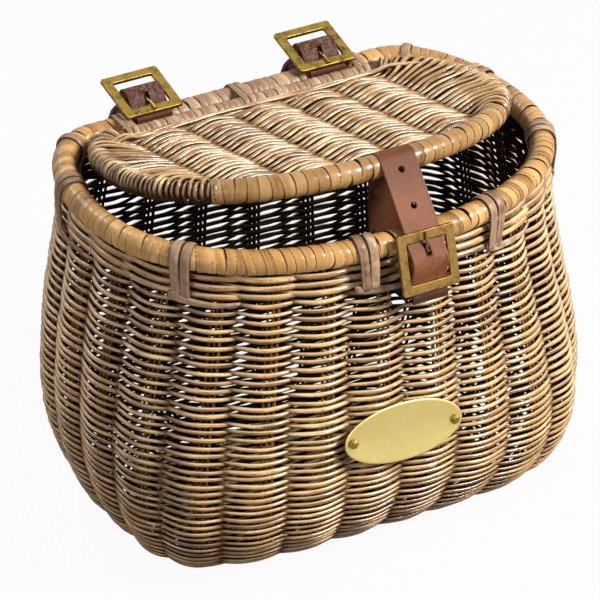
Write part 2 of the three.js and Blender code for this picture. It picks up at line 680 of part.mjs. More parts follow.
const PRONG_LOOP_RADIUS = 3.4;
const PRONG_START = v2(2.5, -0.8);
const PRONG_LIFT = FRAME_THICKNESS / 2 + GAP / 2 + PRONG_RADIUS;
const PRONG_KNEE_BACK = 0.4;
const PRONG_TIP_BACK = 0.6;
const PRONG_KNEE = v2(HALF_FRAME - FRAME_BAR - PRONG_KNEE_BACK, PRONG_LIFT);
const PRONG_TIP = v2(HALF_FRAME - PRONG_TIP_BACK, PRONG_LIFT);
function bentRod(path, radius, sides) {
  const rings = path.map((p, i) => {
    const along = path[Math.min(i + 1, path.length - 1)].clone().sub(path[Math.max(i - 1, 0)]).normalize();
    return Array.from({ length: sides }, (_, k) => {
      const angle = (2 * Math.PI * k) / sides;
      const rise = radius * Math.sin(angle);
      return v3(radius * Math.cos(angle), p.x - along.y * rise, p.y + along.x * rise);
    });
  });
  return loft(rings);
}
const CIRCLE_STEP = 30;
const circle = (centre, radius) => arc(centre, radius, 0, 360 - CIRCLE_STEP, CIRCLE_STEP);
function buckleProng() {
  const barSpotLocal = v2(0, -CENTRE_BAR_SET_BACK);
  const hole = circle(barSpotLocal, CENTRE_BAR_RADIUS + GAP);
  const loopSide = circle(barSpotLocal, PRONG_LOOP_RADIUS);
  const loop = sideExtrusion(loopSide, -PRONG_LOOP_HALF, PRONG_LOOP_HALF, [hole]);
  return join([loop, bentRod([PRONG_START, PRONG_KNEE, PRONG_TIP], PRONG_RADIUS, 8)]);
}

// The folded end of a strap round the centre bar, then its lower layer, in local axes
const FOLD_SQUEEZE = 0.1;
const FOLD_RADIUS = CENTRE_BAR_RADIUS + GAP + HALF_THICK - FOLD_SQUEEZE;
const UPPER_LAYER = -6.3;
const LAYER_GAP = 0.2;
const LOWER_LAYER = UPPER_LAYER - STRAP_THICKNESS - LAYER_GAP;
const NECK_END = -18;
// Each bend: how far along the strap, and how far above its layer
const FOLD_RISE = [[NECK_END, 0], [-11, 0], [-8, 0.6], [-5.6, 2.1]];
const FOLD_DROP = [[-3.2, 2.6], [-6.5, 0.9], [-10, 0], [NECK_END, 0]];
const FOLD_TURN = { from: 155, to: -90, step: 25 };
function foldPath(axes) {
  const local = [
    ...FOLD_RISE.map(([along, lift]) => v2(along, UPPER_LAYER + lift)),
    ...arc(v2(0, -CENTRE_BAR_SET_BACK), FOLD_RADIUS, FOLD_TURN.from, FOLD_TURN.to, FOLD_TURN.step),
    ...FOLD_DROP.map(([along, lift]) => v2(along, LOWER_LAYER + lift)),
  ];
  return local.map((p) => axes.place(p.x, p.y));
}

// The threaded run: under the bar that the prong rests on, over the folded end, under the far bar
const UNDER_BAR = -(FRAME_THICKNESS / 2 + GAP + HALF_THICK);
const OVER_FOLD = -CENTRE_BAR_SET_BACK + FOLD_RADIUS + STRAP_THICKNESS + GAP;
const BAR_MIDDLE = HALF_FRAME - FRAME_BAR / 2;
const THREAD_EASE = 1.6;
const THREAD_REACH = BAR_MIDDLE - THREAD_EASE;
const THREAD_STEPS = 14;
function threadedPath(axes, from, to = -BAR_MIDDLE, steps = THREAD_STEPS) {
  const middle = (OVER_FOLD + UNDER_BAR) / 2;
  const swing = (OVER_FOLD - UNDER_BAR) / 2;
  return Array.from({ length: steps + 1 }, (_, i) => {
    const u = from + ((to - from) * i) / steps;
    const share = Math.min(Math.abs(u) / THREAD_REACH, 1);
    return axes.place(u, middle + swing * Math.cos(Math.PI * share));
  });
}

// Cutters for a strap at a buckle: the slot in the fold and the oval hole that the prong goes through
function buckleCutters(axes, x) {
  const { half, from, to, low, high } = FOLD_SLOT;
  return [poseBuckle(box(-half, half, from, to, low, high), axes, x)];
}
function prongHole(axes, x) {
  const { half, from, to, reach } = PRONG_HOLE;
  return poseBuckle(box(-half, half, from, to, -reach, reach), axes, x);
}
function rivetHole(axes, x) {
  const low = v3(0, FOLD_RIVET.along, LOWER_LAYER - STRAP_THICKNESS);
  const high = v3(0, FOLD_RIVET.along, UPPER_LAYER + HALF_THICK + GAP);
  return poseBuckle(rod(low, high, RIVET_HOLE_RADIUS, 8), axes, x);
}
function rivet(length, { head, shank, height }) {
  const end = length / 2;
  const profile = [
    v2(0, -end - height), v2(head, -end - height), v2(head, -end), v2(shank, -end),
    v2(shank, end), v2(head, end), v2(head, end + height * 0.5), v2(head * 0.6, end + height),
    v2(0, end + height),
  ];
  return new THREE.LatheGeometry(profile, PIN_SIDES);
}
function foldRivet(axes, x) {
  const solid = rivet(2 * STRAP_THICKNESS + LAYER_GAP + GAP, FOLD_RIVET);
  solid.rotateX(Math.PI / 2);
  solid.translate(0, FOLD_RIVET.along, (UPPER_LAYER + LOWER_LAYER) / 2);
  return poseBuckle(solid, axes, x);
}

// Front closing strap: the lid's half and the basket's half
const lidReach = v2(-Math.cos(rad(LID_OPEN_DEG)), Math.sin(rad(LID_OPEN_DEG))).multiplyScalar(LID_DEPTH);
const hoopSpot = v2(HINGE_Y, HINGE_Z).add(lidReach);
const bendRadius = LID_CORE_RADIUS + STRAP_SLACK + HALF_THICK;
const BEFORE_BAR = 2;
const PAST_BAR = { along: 10, sink: 0.2 };
const barPoint = frontAxes.place(BAR_MIDDLE + BEFORE_BAR, UNDER_BAR);
const toBar = barPoint.clone().sub(hoopSpot);
const bendEnd = THREE.MathUtils.radToDeg(
  Math.atan2(toBar.y, toBar.x) + 2 * Math.PI - Math.acos(bendRadius / toBar.length()));
const innerLegEnd = RIM_HEIGHT - INNER_LEG_DROP;
const legY = hoopSpot.x + bendRadius;
const bend = arc(hoopSpot, bendRadius, 0, bendEnd, 18);
const lidStrapPath = [
  v2(legY, innerLegEnd), ...bend, barPoint, ...threadedPath(frontAxes, BAR_MIDDLE),
  frontAxes.place(-BAR_MIDDLE - PAST_BAR.along, UNDER_BAR - PAST_BAR.sink),
];
const tangent = bend[bend.length - 1];
const slope = barPoint.clone().sub(tangent).normalize();
const HOLE_CUT_HALF = 4;
function strapHole(distance) {
  const at = tangent.clone().addScaledVector(slope, distance);
  const across = v2(-slope.y, slope.x);
  const [below, above] = [-HOLE_CUT_HALF, HOLE_CUT_HALF].map((far) => {
    const end = at.clone().addScaledVector(across, far);
    return v3(FRONT_STRAP_X, end.x, end.y);
  });
  return rod(below, above, HOLE_RADIUS, PIN_SIDES);
}
const legRivetX = FRONT_STRAP_X - LEG_RIVET_OFFSET;
const legRivets = Object.entries(LEG_RIVET_RISE).map(
  ([level, above]) => [`lid_strap_rivet_${level}`, RIM_HEIGHT + above]);
const legHole = (z) => rod(v3(legRivetX, legY - STRAP_THICKNESS, z), v3(legRivetX, legY + STRAP_THICKNESS, z),
  RIVET_HOLE_RADIUS, 8);
const [strapLeft, strapRight] = [FRONT_STRAP_X - HALF_STRAP, FRONT_STRAP_X + HALF_STRAP];
add(group, 'lid_strap', cut(sideExtrusion(ribbon(lidStrapPath, STRAP_THICKNESS), strapLeft, strapRight), [
  strapHole(HOLE_FROM_BEND), strapHole(HOLE_FROM_BEND + HOLE_PITCH), prongHole(frontAxes, FRONT_STRAP_X),
  ...legRivets.map(([, z]) => legHole(z)),
]), leather);
for (const [name, z] of legRivets) {
  const solid = rivet(STRAP_THICKNESS + GAP, LEG_RIVET);
  solid.translate(legRivetX, legY, z);
  add(group, name, solid, oldBrass);
}

const turnRadius = 5;
const TURN_PAST_NECK = 2;
const TAIL_BEFORE_LEG = 4;
const turnSpot = frontAxes.place(NECK_END - TURN_PAST_NECK, LOWER_LAYER - turnRadius);
const turnStart = THREE.MathUtils.radToDeg(Math.atan2(frontAxes.w.y, frontAxes.w.x));
const frontSlotZ = turnSpot.y - turnRadius;
const frontPath = [
  ...foldPath(frontAxes), ...arc(turnSpot, turnRadius, turnStart, 270), v2(legY - TAIL_BEFORE_LEG, frontSlotZ),
];
const frontChape = sideExtrusion(ribbon(frontPath, STRAP_THICKNESS), strapLeft, strapRight);
add(group, 'front_strap', cut(frontChape, [
  ...buckleCutters(frontAxes, FRONT_STRAP_X), rivetHole(frontAxes, FRONT_STRAP_X),
]), leather);

// Handlebar straps: one long belt on each side, round the rim and the space for the handlebar.
// The folded end turns down behind the centre bar, and the free end lies over it.
const rearBar = rearAxes.place(0, -CENTRE_BAR_SET_BACK);
const neckTurn = 90 + REAR_NECK_LEAN;
const neckOrigin = rearBar.clone().add(
  v2(Math.cos(rad(neckTurn)), Math.sin(rad(neckTurn))).multiplyScalar(CENTRE_BAR_SET_BACK));
const neckAxes = buckleAxes(neckOrigin.x, neckOrigin.y, REAR_NECK_LEAN, true);
const loopRadius = HANDLEBAR_RADIUS + HANDLEBAR_ROOM + HALF_THICK;
const barCentre = v2(RIM_HALF_DEPTH + HANDLEBAR.back, RIM_HEIGHT - HANDLEBAR.drop);
const neckEnd = neckAxes.place(NECK_END, LOWER_LAYER);
const toNeck = neckEnd.clone().sub(barCentre);
const loopStart = THREE.MathUtils.radToDeg(
  Math.atan2(toNeck.y, toNeck.x) - Math.acos(loopRadius / toNeck.length()));
const RISE_BEHIND_BAR = 0.9;
const RISE_TURN = 4;
const RISE_TURN_STOP = 12;
const THREAD_BEFORE_BAR = 1.5;
const HALF_THREAD_STEPS = THREAD_STEPS / 2;
const riseY = HINGE_Y + LID_BAR_WRAP_RADIUS + HALF_THICK + RISE_BEHIND_BAR;
const threadStart = BAR_MIDDLE - THREAD_BEFORE_BAR;
const rise = threadedPath(rearAxes, threadStart)[0];
const topTurn = 90 + REAR_BUCKLE.lean;
const lowRun = barCentre.y - loopRadius;
const FREE_END = [v2(-24, UNDER_BAR - 1), v2(-30, UNDER_BAR - 3.5), v2(-34, UNDER_BAR - 6.5)];
const riseTop = v2(riseY + RISE_TURN, rise.y - RISE_TURN * Math.sin(rad(topTurn)));
const handlebarPath = [
  ...foldPath(neckAxes), ...arc(barCentre, loopRadius, loopStart, -90),
  ...arc(v2(riseY + RISE_TURN, lowRun + RISE_TURN), RISE_TURN, -90, -180, 30),
  ...arc(riseTop, RISE_TURN, 180, topTurn + RISE_TURN_STOP, 22),
  ...threadedPath(rearAxes, threadStart, 0, HALF_THREAD_STEPS),
  ...arc(rearBar, OVER_FOLD + CENTRE_BAR_SET_BACK, topTurn, neckTurn, 18).slice(1),
  ...threadedPath(neckAxes, 0, -BAR_MIDDLE, HALF_THREAD_STEPS).slice(1),
  ...FREE_END.map((p) => neckAxes.place(p.x, p.y)),
];
for (const [side, sign] of [['left', -1], ['right', 1]]) {
  const x = sign * REAR_STRAP_X;
  const belt = sideExtrusion(ribbon(handlebarPath, STRAP_THICKNESS), x - HALF_STRAP, x + HALF_STRAP);
  add(group, `handlebar_strap_${side}`, cut(belt, [
    ...buckleCutters(rearAxes, x), prongHole(rearAxes, x), rivetHole(neckAxes, x),
  ]), leather);
  add(group, `handlebar_buckle_${side}`, poseBuckle(buckleFrame(), rearAxes, x), oldBrass);
  add(group, `handlebar_prong_${side}`, poseBuckle(buckleProng(), rearAxes, x), oldBrass);
  add(group, `handlebar_rivet_${side}`, foldRivet(neckAxes, x), oldBrass);
}
add(group, 'front_buckle', poseBuckle(buckleFrame(), frontAxes, FRONT_STRAP_X), oldBrass);
add(group, 'front_prong', poseBuckle(buckleProng(), frontAxes, FRONT_STRAP_X), oldBrass);
add(group, 'front_rivet', foldRivet(frontAxes, FRONT_STRAP_X), oldBrass);

// The wall with its slots: for the straps, under the hinge loops and for the screws of the plate
const SLOT_HALF = 3.4;
const LOOP_SLOT_DEPTH = 2.2;
const SCREW_HOLE_RADIUS = 1.9;
const screwSpot = (side) => ({
  x: PLATE_X + side * SCREW_OFFSET * Math.cos(rad(PLATE_TURN_DEG)),
  z: PLATE_Z - side * SCREW_OFFSET * Math.sin(rad(PLATE_TURN_DEG)),
});
const rearSlotZ = barCentre.y - loopRadius;
const wallSlots = [
  box(FRONT_STRAP_X - STRAP_GAP_HALF, FRONT_STRAP_X + STRAP_GAP_HALF, -2 * RIM_HALF_DEPTH, 0,
    frontSlotZ - SLOT_HALF, frontSlotZ + SLOT_HALF),
  ...[-1, 1].map((side) => box(side * REAR_STRAP_X - STRAP_GAP_HALF, side * REAR_STRAP_X + STRAP_GAP_HALF, 0,
    2 * RIM_HALF_DEPTH, rearSlotZ - SLOT_HALF, rearSlotZ + SLOT_HALF)),
  ...[-1, 0, 1].map((side) => box(side * HINGE_LOOP_X - loopRoomHalf, side * HINGE_LOOP_X + loopRoomHalf,
    HINGE_Y, 2 * RIM_HALF_DEPTH, WALL_TOP - LOOP_SLOT_DEPTH, RIM_HEIGHT)),
  ...[-1, 1].map((side) => {
    const { x, z } = screwSpot(side);
    return rod(v3(x, -2 * RIM_HALF_DEPTH, z), v3(x, -RIM_HALF_DEPTH / 2, z), SCREW_HOLE_RADIUS, 6);
  }),
];
add(group, 'wall_weave', cut(wallSolid(), wallSlots), wicker);

// The plate: a plain oval with two screws
const plateY = -BELLY_HALF_DEPTH - SCALLOP_BASE - PLATE_THICKNESS;
function plate() {
  const shape = new THREE.Shape();
  shape.absellipse(0, 0, PLATE_HALF_LENGTH, PLATE_HALF_HEIGHT, 0, 2 * Math.PI);
  for (const side of [-1, 1]) {
    const hole = new THREE.Path();
    hole.absellipse(side * SCREW_OFFSET, 0, SCREW_HOLE_RADIUS, SCREW_HOLE_RADIUS, 0, 2 * Math.PI);
    shape.holes.push(hole);
  }
  const solid = new THREE.ExtrudeGeometry(shape, {
    depth: PLATE_THICKNESS, bevelEnabled: false, curveSegments: 2 * PIN_SIDES,
  });
  solid.rotateX(Math.PI / 2);
  solid.rotateY(rad(PLATE_TURN_DEG));
  solid.translate(PLATE_X, plateY + PLATE_THICKNESS, PLATE_Z);
  return solid;
}
add(group, 'badge_plate', plate(), paleBrass);
for (const [side, sign] of [['left', -1], ['right', 1]]) {
  const { shank, length, head, height } = SCREW;
  const screw = new THREE.LatheGeometry([
    v2(0, 0), v2(shank, 0), v2(shank, length), v2(head, length), v2(head * 0.94, length + height * 0.57),
    v2(head * 0.56, length + height * 0.9), v2(0, length + height),
  ], PIN_SIDES);
  screw.rotateX(Math.PI);
  const { x, z } = screwSpot(sign);
  screw.translate(x, plateY - GAP + length, z);
  add(group, `plate_screw_${side}`, screw, oldBrass);
}

export default group;
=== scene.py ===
"""Wicker bicycle basket: the woven, wound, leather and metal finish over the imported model.

The property groups hold metres. Guides and bands are worked out in millimetres and become metres as meshes.
The front looks towards -Y and +Z is up.
"""

import math
from contextlib import contextmanager

import bmesh
import bpy
import numpy as np
from bpy.props import FloatProperty, FloatVectorProperty, PointerProperty
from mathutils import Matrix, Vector


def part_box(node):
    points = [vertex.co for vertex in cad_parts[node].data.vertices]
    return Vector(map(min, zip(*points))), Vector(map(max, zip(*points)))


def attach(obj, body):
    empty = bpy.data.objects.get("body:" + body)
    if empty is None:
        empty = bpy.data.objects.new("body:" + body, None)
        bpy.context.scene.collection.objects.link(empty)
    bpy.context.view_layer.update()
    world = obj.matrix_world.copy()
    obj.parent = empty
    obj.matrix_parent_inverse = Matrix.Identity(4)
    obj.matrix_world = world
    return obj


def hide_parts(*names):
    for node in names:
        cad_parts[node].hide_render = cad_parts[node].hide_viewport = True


bl_info = {
    "name": "Wicker bicycle basket",
    "version": (1, 0, 0),
    "blender": (4, 5, 0),
    "location": "3D View > Sidebar > Basket",
    "description": "Weaves, winds and straps a lidded bicycle basket over its packed model",
    "category": "Object",
}

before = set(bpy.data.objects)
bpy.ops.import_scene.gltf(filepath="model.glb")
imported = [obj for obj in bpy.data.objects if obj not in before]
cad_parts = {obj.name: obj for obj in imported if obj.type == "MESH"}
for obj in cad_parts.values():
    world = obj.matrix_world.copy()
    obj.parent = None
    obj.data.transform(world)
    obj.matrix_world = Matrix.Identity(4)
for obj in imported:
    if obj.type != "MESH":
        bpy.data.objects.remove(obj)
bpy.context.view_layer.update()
MM = 0.001

# Shape of the basket, the same values as the solids
RIM_HEIGHT = 233.0
RIM_HALF_WIDTH = 151.0
RIM_HALF_DEPTH = 105.5
RIM_CORNER = 47.0
WAIST_Y = 13.5
BELLY_HEIGHT = 96.0
BELLY_HALF_WIDTH = 168.5
BELLY_HALF_DEPTH = 114.5
BASE_HALF_WIDTH = 118.0
BASE_FRONT = -47.0
BASE_BACK = 88.0
BASE_THICKNESS = 6.0
WALL_THICKNESS = 5.5
WALL_OUTSET = 3.0
TOP_ROUNDNESS = 2.25
BASE_ROUNDNESS = 4.7
SQUARE_BELOW_RIM = 40.0
SHOULDER_CURVE = 1.5
FOOT_CURVE = 2.2
STAKE_COUNT = 24
STAKE_OFFSET_X = -15.6
HINGE_Y = 90.0
HINGE_Z = 236.0
LID_TILT = math.radians(12)
LID_HALF_WIDTH = 127.0
LID_DEPTH = 172.0
LID_CORNER = 35.0
LID_WAIST = -0.42 * LID_DEPTH
LID_CORE_RADIUS = 5.0
LID_WRAP_CHANGE_X = 98.0
FRONT_STRAP_X = 8.0
REAR_STRAP_X = 63.0
STRAP_HALF = 12.5
STRAP_GAP_HALF = 15.0
FRONT_SLOT_Z = 196.6
REAR_SLOT_Z = 199.0
SLOT_HALF = 4.6
PLATE_X = -5.5
PLATE_Z = 103.8
PLATE_TURN = math.radians(2.6)
PLATE_HALF_LENGTH = 42.0
PLATE_HALF_HEIGHT = 21.0

# Shape of the dressing alone, in millimetres and shares
FOOT_RISE = 3.7
FOOT_RISE_ENDS = 16.0
FOOT_SWING_LOSS = 0.6
FOOT_THINNING = 0.42
# Lower tone towards the foot: painted shade at the bottom of the wall
FOOT_SHADE = 0.22
TONE_SHIFT = 0.04
ROW_JITTER = 0.45
POINTS_PER_STAKE = 10
WALL_SAMPLES = 2881
HOOP_SAMPLES = 800
STAKE_FOOT = 3.2
STAKE_BELOW_RIM = 5.0
STAKE_POINTS = 34
BASE_INSET = 1.0
BASE_PITCH = 5.4
BASE_RIB_PITCH = 34.0
BASE_RIB_REACH = 102.0
BASE_ROD_POINTS = 60
BASE_RIB_POINTS = 12
LID_BACK_GAP = 10.6
LID_FLAT_DEPTH = 21.0
LID_FLAT_SWING = 0.42
LID_END_GIRTH = 0.74
LID_CANE_FROM = 5.6
LID_CANE_TO = 78.0
LASHING_REACH = 8.9
LASHING_THICKNESS = 1.9
LASHING_GAP = 0.5
BAND_GRAIN = 12.0
DOUBLE_ABOVE = 10
TAIL_START = 0.008
TAIL_SPAN = 0.0495
TAIL_POINTS = 16
TAIL_WIDTH = 5.8
TAIL_NARROWING = 3.4
TAIL_THICKNESS = 1.7
LOOP_SHIFT = 2.3
LOOP_RIM_REACH = 9.1
LOOP_BAR_REACH = 5.5
LOOP_WIDTH = 4.3
LOOP_THICKNESS = 1.2
CANE_UNEVENNESS = 0.03
BELT_BEVEL = 0.7
BELT_SLICE = 1.2
BUCKLE_BEVEL = 0.5
BEVEL_STEPS = 3
BEVEL_ANGLE = math.radians(55)
FLAT_ANGLE = math.radians(1.0)
PLATE_SIDES = 96
# Pale colour of the painted glints on the leather
LEATHER_GLINT = (0.42, 0.34, 0.29, 1.0)

# View of the photograph, in metres and radians
VIEW_TURN = math.radians(-29.6)
VIEW_RISE = math.radians(30.0)
VIEW_DISTANCE = 4.0
VIEW_AIM_LEFT = 0.01106
VIEW_AIM_DOWN = 0.0831
VIEW_LENS = 384
VIEW_SENSOR = 36
VIEW_END = 20

# Lights, with their places and sizes, and the floor, in metres
LAMPS = (("key", (1.15, -1.39, 1.49), 0.7), ("fill", (-1.6, -0.7, 0.9), 1.0), ("back", (-0.5, 1.4, 1.7), 0.8))
LAMP_AIM = Vector((0, 0, 0.12))
WHITE = (1, 1, 1, 1)
FLOOR_GREY = (0.42, 0.42, 0.42, 1)
FLOOR_GLOW = 0.95
FLOOR_SIZE = 6.0
FLOOR_DROP = 0.0005

# Distances within which points are merged, in metres
SOLID_MERGE = 2e-6
PLATE_MERGE = 1e-6
STRIP_MERGE = 1e-6

# Small steps for directions along an outline and up the wall
OUTLINE_STEP = 0.0005
HEIGHT_STEP = 0.4

# Chance in the node trees: how lines, rods and turns of cane differ from each other
LINE_STEP = 3.71
WANDER_SCALE = 38.0
ROD_SHIFT = 5.3
RODS_PER_LINE = 40.0
TURN_ROLL = 30.0
TURN_LEAN = 0.6
TURN_GIRTH = (-0.4, 0.5)
TURN_STRETCH = (-1.2, 2.4)

# Points across and round one turn of cane, and how square its crown is
STRIP_POINTS = (6, 17)
CROWN_POWER = 3.0

X_AXIS = np.array([1.0, 0.0, 0.0])
Y_AXIS = np.array([0.0, 1.0, 0.0])
UP = np.array([0.0, 0.0, 1.0])


def settings():
    """The property group that holds every size and colour."""
    return bpy.context.scene.wicker_basket


def add_object(name, data):
    """A new object in the scene."""
    thing = bpy.data.objects.new(name, data)
    bpy.context.scene.collection.objects.link(thing)
    return thing


@contextmanager
def editing(mesh):
    """Opens a mesh for changes and writes them back at the end."""
    edit = bmesh.new()
    edit.from_mesh(mesh)
    yield edit
    edit.to_mesh(mesh)
    edit.free()


def unit(vectors):
    """Vectors with a length of one."""
    return vectors / np.linalg.norm(vectors, axis=1, keepdims=True)


def run_lengths(points):
    """Distances along a polyline from its start."""
    return np.concatenate([[0], np.cumsum(np.linalg.norm(np.diff(points, axis=0), axis=1))])


# Node trees: arithmetic on sockets and one way to add a node


def arithmetic(operation, reflected=False):
    """A method of Flow that adds a Math node."""
    def method(self, other):
        pair = (other, self) if reflected else (self, other)
        return self.builder.maths(operation, *pair)
    return method


class Flow:
    """A number in a node tree: the socket it comes from, with arithmetic that adds Math nodes."""

    def __init__(self, builder, socket):
        self.builder = builder
        self.socket = socket

    __add__ = arithmetic("ADD")
    __radd__ = arithmetic("ADD", True)
    __sub__ = arithmetic("SUBTRACT")
    __rsub__ = arithmetic("SUBTRACT", True)
    __mul__ = arithmetic("MULTIPLY")
    __rmul__ = arithmetic("MULTIPLY", True)
    __truediv__ = arithmetic("DIVIDE")
    __pow__ = arithmetic("POWER")


def socket_of(sockets, key):
    """A node's socket by its identifier, its name or its number."""
    for socket in sockets:
        if socket.identifier == key:
            return socket
    return sockets[key]


class Builder:
    """Adds nodes to one tree."""

    def __init__(self, tree):
        self.tree = tree

    def add(self, kind, options=None, sockets=None, output=0):
        """Adds a node, sets its options first and then its sockets, and returns one output."""
        node = self.tree.nodes.new(kind)
        for name, value in (options or {}).items():
            if name == "stops":
                self._stops(node.color_ramp, value)
            else:
                setattr(node, name, value)
        for key, value in (sockets or {}).items():
            target = socket_of(node.inputs, key)
            if isinstance(value, Flow):
                self.tree.links.new(value.socket, target)
            else:
                target.default_value = value
        return Flow(self, socket_of(node.outputs, output)) if node.outputs else node

    @staticmethod
    def _stops(ramp, stops):
        while len(ramp.elements) < len(stops):
            ramp.elements.new(1.0)
        for element, (position, colour) in zip(ramp.elements, stops):
            element.position = position
            element.color = colour

    def sibling(self, flow, output):
        """Another output of the node that a flow comes from."""
        return Flow(self, flow.socket.node.outputs[output])

    def maths(self, operation, first, second=0.0):
        return self.add("ShaderNodeMath", {"operation": operation}, {0: first, 1: second})

    def vector(self, operation, first, second=None, scale=None):
        sockets = {0: first}
        if second is not None:
            sockets[1] = second
        if scale is not None:
            sockets["Scale"] = scale
        output = "Value" if operation == "DOT_PRODUCT" else 0
        return self.add("ShaderNodeVectorMath", {"operation": operation}, sockets, output)

    def smooth(self, value, low, high):
        """0 below low, 1 above high and a soft step between them."""
        return self.add("ShaderNodeMapRange", {"interpolation_type": "SMOOTHSTEP"},
                        {"Value": value, "From Min": low, "From Max": high})

    def noise(self, vector, scale, detail, roughness):
        return self.add("ShaderNodeTexNoise", {}, {
            "Vector": vector, "Scale": scale, "Detail": detail, "Roughness": roughness})

    def blend(self, factor, first, second):
        """Mixes two colours."""
        return self.add("ShaderNodeMix", {"data_type": "RGBA"}, {0: factor, 6: first, 7: second}, 2)

    def combine(self, x, y, z):
        return self.add("ShaderNodeCombineXYZ", {}, {0: x, 1: y, 2: z})


def linear(red, green, blue):
    """A colour given as 0 to 255 display values, as linear light with alpha."""
    parts = [c / 255 for c in (red, green, blue)]
    return tuple(c / 12.92 if c <= 0.04045 else ((c + 0.055) / 1.055) ** 2.4 for c in parts) + (1.0,)


def shade(colour, share):
    """A colour made darker or lighter."""
    return tuple(c * share for c in colour[:3]) + (1.0,)


# Materials


def new_material(name):
    material = bpy.data.materials.new(name)
    material.use_nodes = True
    material.node_tree.nodes.clear()
    return material, Builder(material.node_tree)


def finish_material(builder, colour, roughness, bump, strength, distance, others=None):
    """Ends a material in a bumped Principled shader. Others holds more of the shader's sockets."""
    sockets = {"Base Color": colour, "Roughness": roughness}
    sockets.update(others or {})
    sockets["Normal"] = builder.add("ShaderNodeBump", {}, {
        "Strength": strength, "Distance": distance, "Height": bump})
    surface = builder.add("ShaderNodeBsdfPrincipled", {}, sockets)
    builder.add("ShaderNodeOutputMaterial", {}, {"Surface": surface})


def attribute(builder, name, output="Fac"):
    return builder.add("ShaderNodeAttribute", {"attribute_name": name}, {}, output)


def rod_material(name, dark, middle, pale, top_highlight, inside_shade_share, light_from_above):
    """Willow rods: a tone for each rod, streaks and dark flecks, and painted light: a painted highlight on
    upward faces, painted shade on undersides and sides, and painted shade that turns black where a rod goes
    behind at a crossing and on inward faces.
    """
    material, b = new_material(name)
    tone = attribute(b, "tone")
    along = attribute(b, "along")
    around = attribute(b, "around")
    wave = attribute(b, "wave")
    woven = attribute(b, "woven")
    outward = attribute(b, "outward", "Vector")
    coordinates = b.add("ShaderNodeTexCoord", {}, {}, "Object")
    normal = b.sibling(coordinates, "Normal")
    streaks = b.noise(b.combine(along * 90.0, around * 9.0, tone * 37.0), 1.0, 3.0, 0.6)
    blotches = b.noise(b.combine(along * 45.0, around * 1.4, tone * 91.0), 1.0, 2.0, 0.55)
    fleck = b.smooth(b.noise(coordinates, 620.0, 2.0, 0.55), 0.57, 0.68)
    level = tone * 0.62 + (streaks - 0.5) * 1.5 + (blotches - 0.5) * 1.3 + 0.19
    colour = b.add("ShaderNodeValToRGB", {"stops": [
        (0.0, dark), (0.34, shade(middle, 0.72)), (0.6, middle), (1.0, pale)]}, {0: level})
    colour = b.blend(fleck * 0.6, colour, shade(dark, 0.9))
    sky = b.add("ShaderNodeSeparateXYZ", {}, {0: normal}, 2)
    # Painted highlight: faces that point up blend towards the pale highlight colour
    colour = b.blend(b.smooth(sky, 0.5, 0.98) * light_from_above * 0.75, colour, top_highlight)
    # Painted shade: faces that point down darken
    colour = b.blend((1.0 - b.smooth(sky, -0.6, 0.35)) * light_from_above, colour, shade(dark, 0.45))
    # Painted shade on the sides of each rod where it meets its neighbours, less on the sides that face up
    facing = b.vector("DOT_PRODUCT", normal, outward)
    side = 1.0 - b.smooth(b.maths("ABSOLUTE", facing), 0.15, 0.9)
    lit = b.smooth(sky, -0.2, 0.4) * light_from_above
    colour = b.blend(side * (1.0 - lit) * 0.6, colour, shade(dark, 0.5))
    # Painted shade at crossings: a rod goes brown as it turns behind a stake or another rod and black where
    # it lies behind; the woven value sets how much of it a rod gets
    towards = b.smooth(facing, -0.75, -0.2) * 2.0 - 1.0
    exposed = 1.0 - woven * (0.5 - wave * towards * 0.5)
    crossing_shade = 1.0 - b.smooth(exposed, 0.4, 0.74)
    colour = b.blend(crossing_shade * 0.66, colour, shade(dark, 0.7))
    buried_shade = 1.0 - b.smooth(exposed, 0.32, 0.58)
    colour = b.blend(buried_shade * 0.98, colour, shade(dark, 0.04))
    # Painted shade: faces that point inward go near black
    inner = 1.0 - b.smooth(facing, -0.35, 0.3)
    colour = b.blend(inner * inside_shade_share, colour, shade(dark, 0.05))
    coat = (1.0 - crossing_shade) * (1.0 - inner * inside_shade_share)
    finish_material(b, colour, streaks * 0.3 + 0.4, streaks, 0.3, 0.0003,
                    {"Coat Weight": coat, "Coat Roughness": 0.13, "Specular IOR Level": 0.03})
    return material


def strip_material(name, dark, middle, pale, gloss, coat):
    """Flat cane: a tone for each turn, fibres along the strip, a few burnt spots, a painted highlight along
    the raised side of each turn and dark edges that paint the shade in the seams between turns.
    """
    material, b = new_material(name)
    tone = attribute(b, "tone")
    across = attribute(b, "across")
    around = attribute(b, "around")
    coordinates = b.add("ShaderNodeTexCoord", {}, {}, "Object")
    fibres = b.noise(b.combine(across * 7.0, around * 1.6, tone * 53.0), 1.0, 4.0, 0.65)
    patches = b.noise(b.combine(across * 0.7, around * 2.2, tone * 77.0), 1.0, 2.0, 0.5)
    level = tone * 0.6 + (fibres - 0.5) * 1.2 + (patches - 0.5) * 1.1 + 0.22
    colour = b.add("ShaderNodeValToRGB", {"stops": [
        (0.0, dark), (0.35, shade(middle, 0.82)), (0.62, middle), (1.0, pale)]}, {0: level})
    # Painted shade in the seams between turns
    edge = b.smooth(b.maths("ABSOLUTE", across), 0.78, 0.95)
    # Painted highlight along the raised, overlapping side of each turn
    lip = b.smooth(across, 0.3, 0.7) * (1.0 - edge)
    colour = b.blend(lip * 0.25, colour, pale)
    colour = b.blend(edge * 0.9, colour, shade(dark, 0.3))
    burnt = b.smooth(b.noise(coordinates, 210.0, 3.0, 0.6), 0.66, 0.76)
    colour = b.blend(burnt * 0.6, colour, shade(dark, 0.6))
    finish_material(b, colour, gloss + fibres * 0.22, fibres, 0.25, 0.0003,
                    {"Coat Weight": coat, "Coat Roughness": 0.16, "Specular IOR Level": 0.25})
    return material


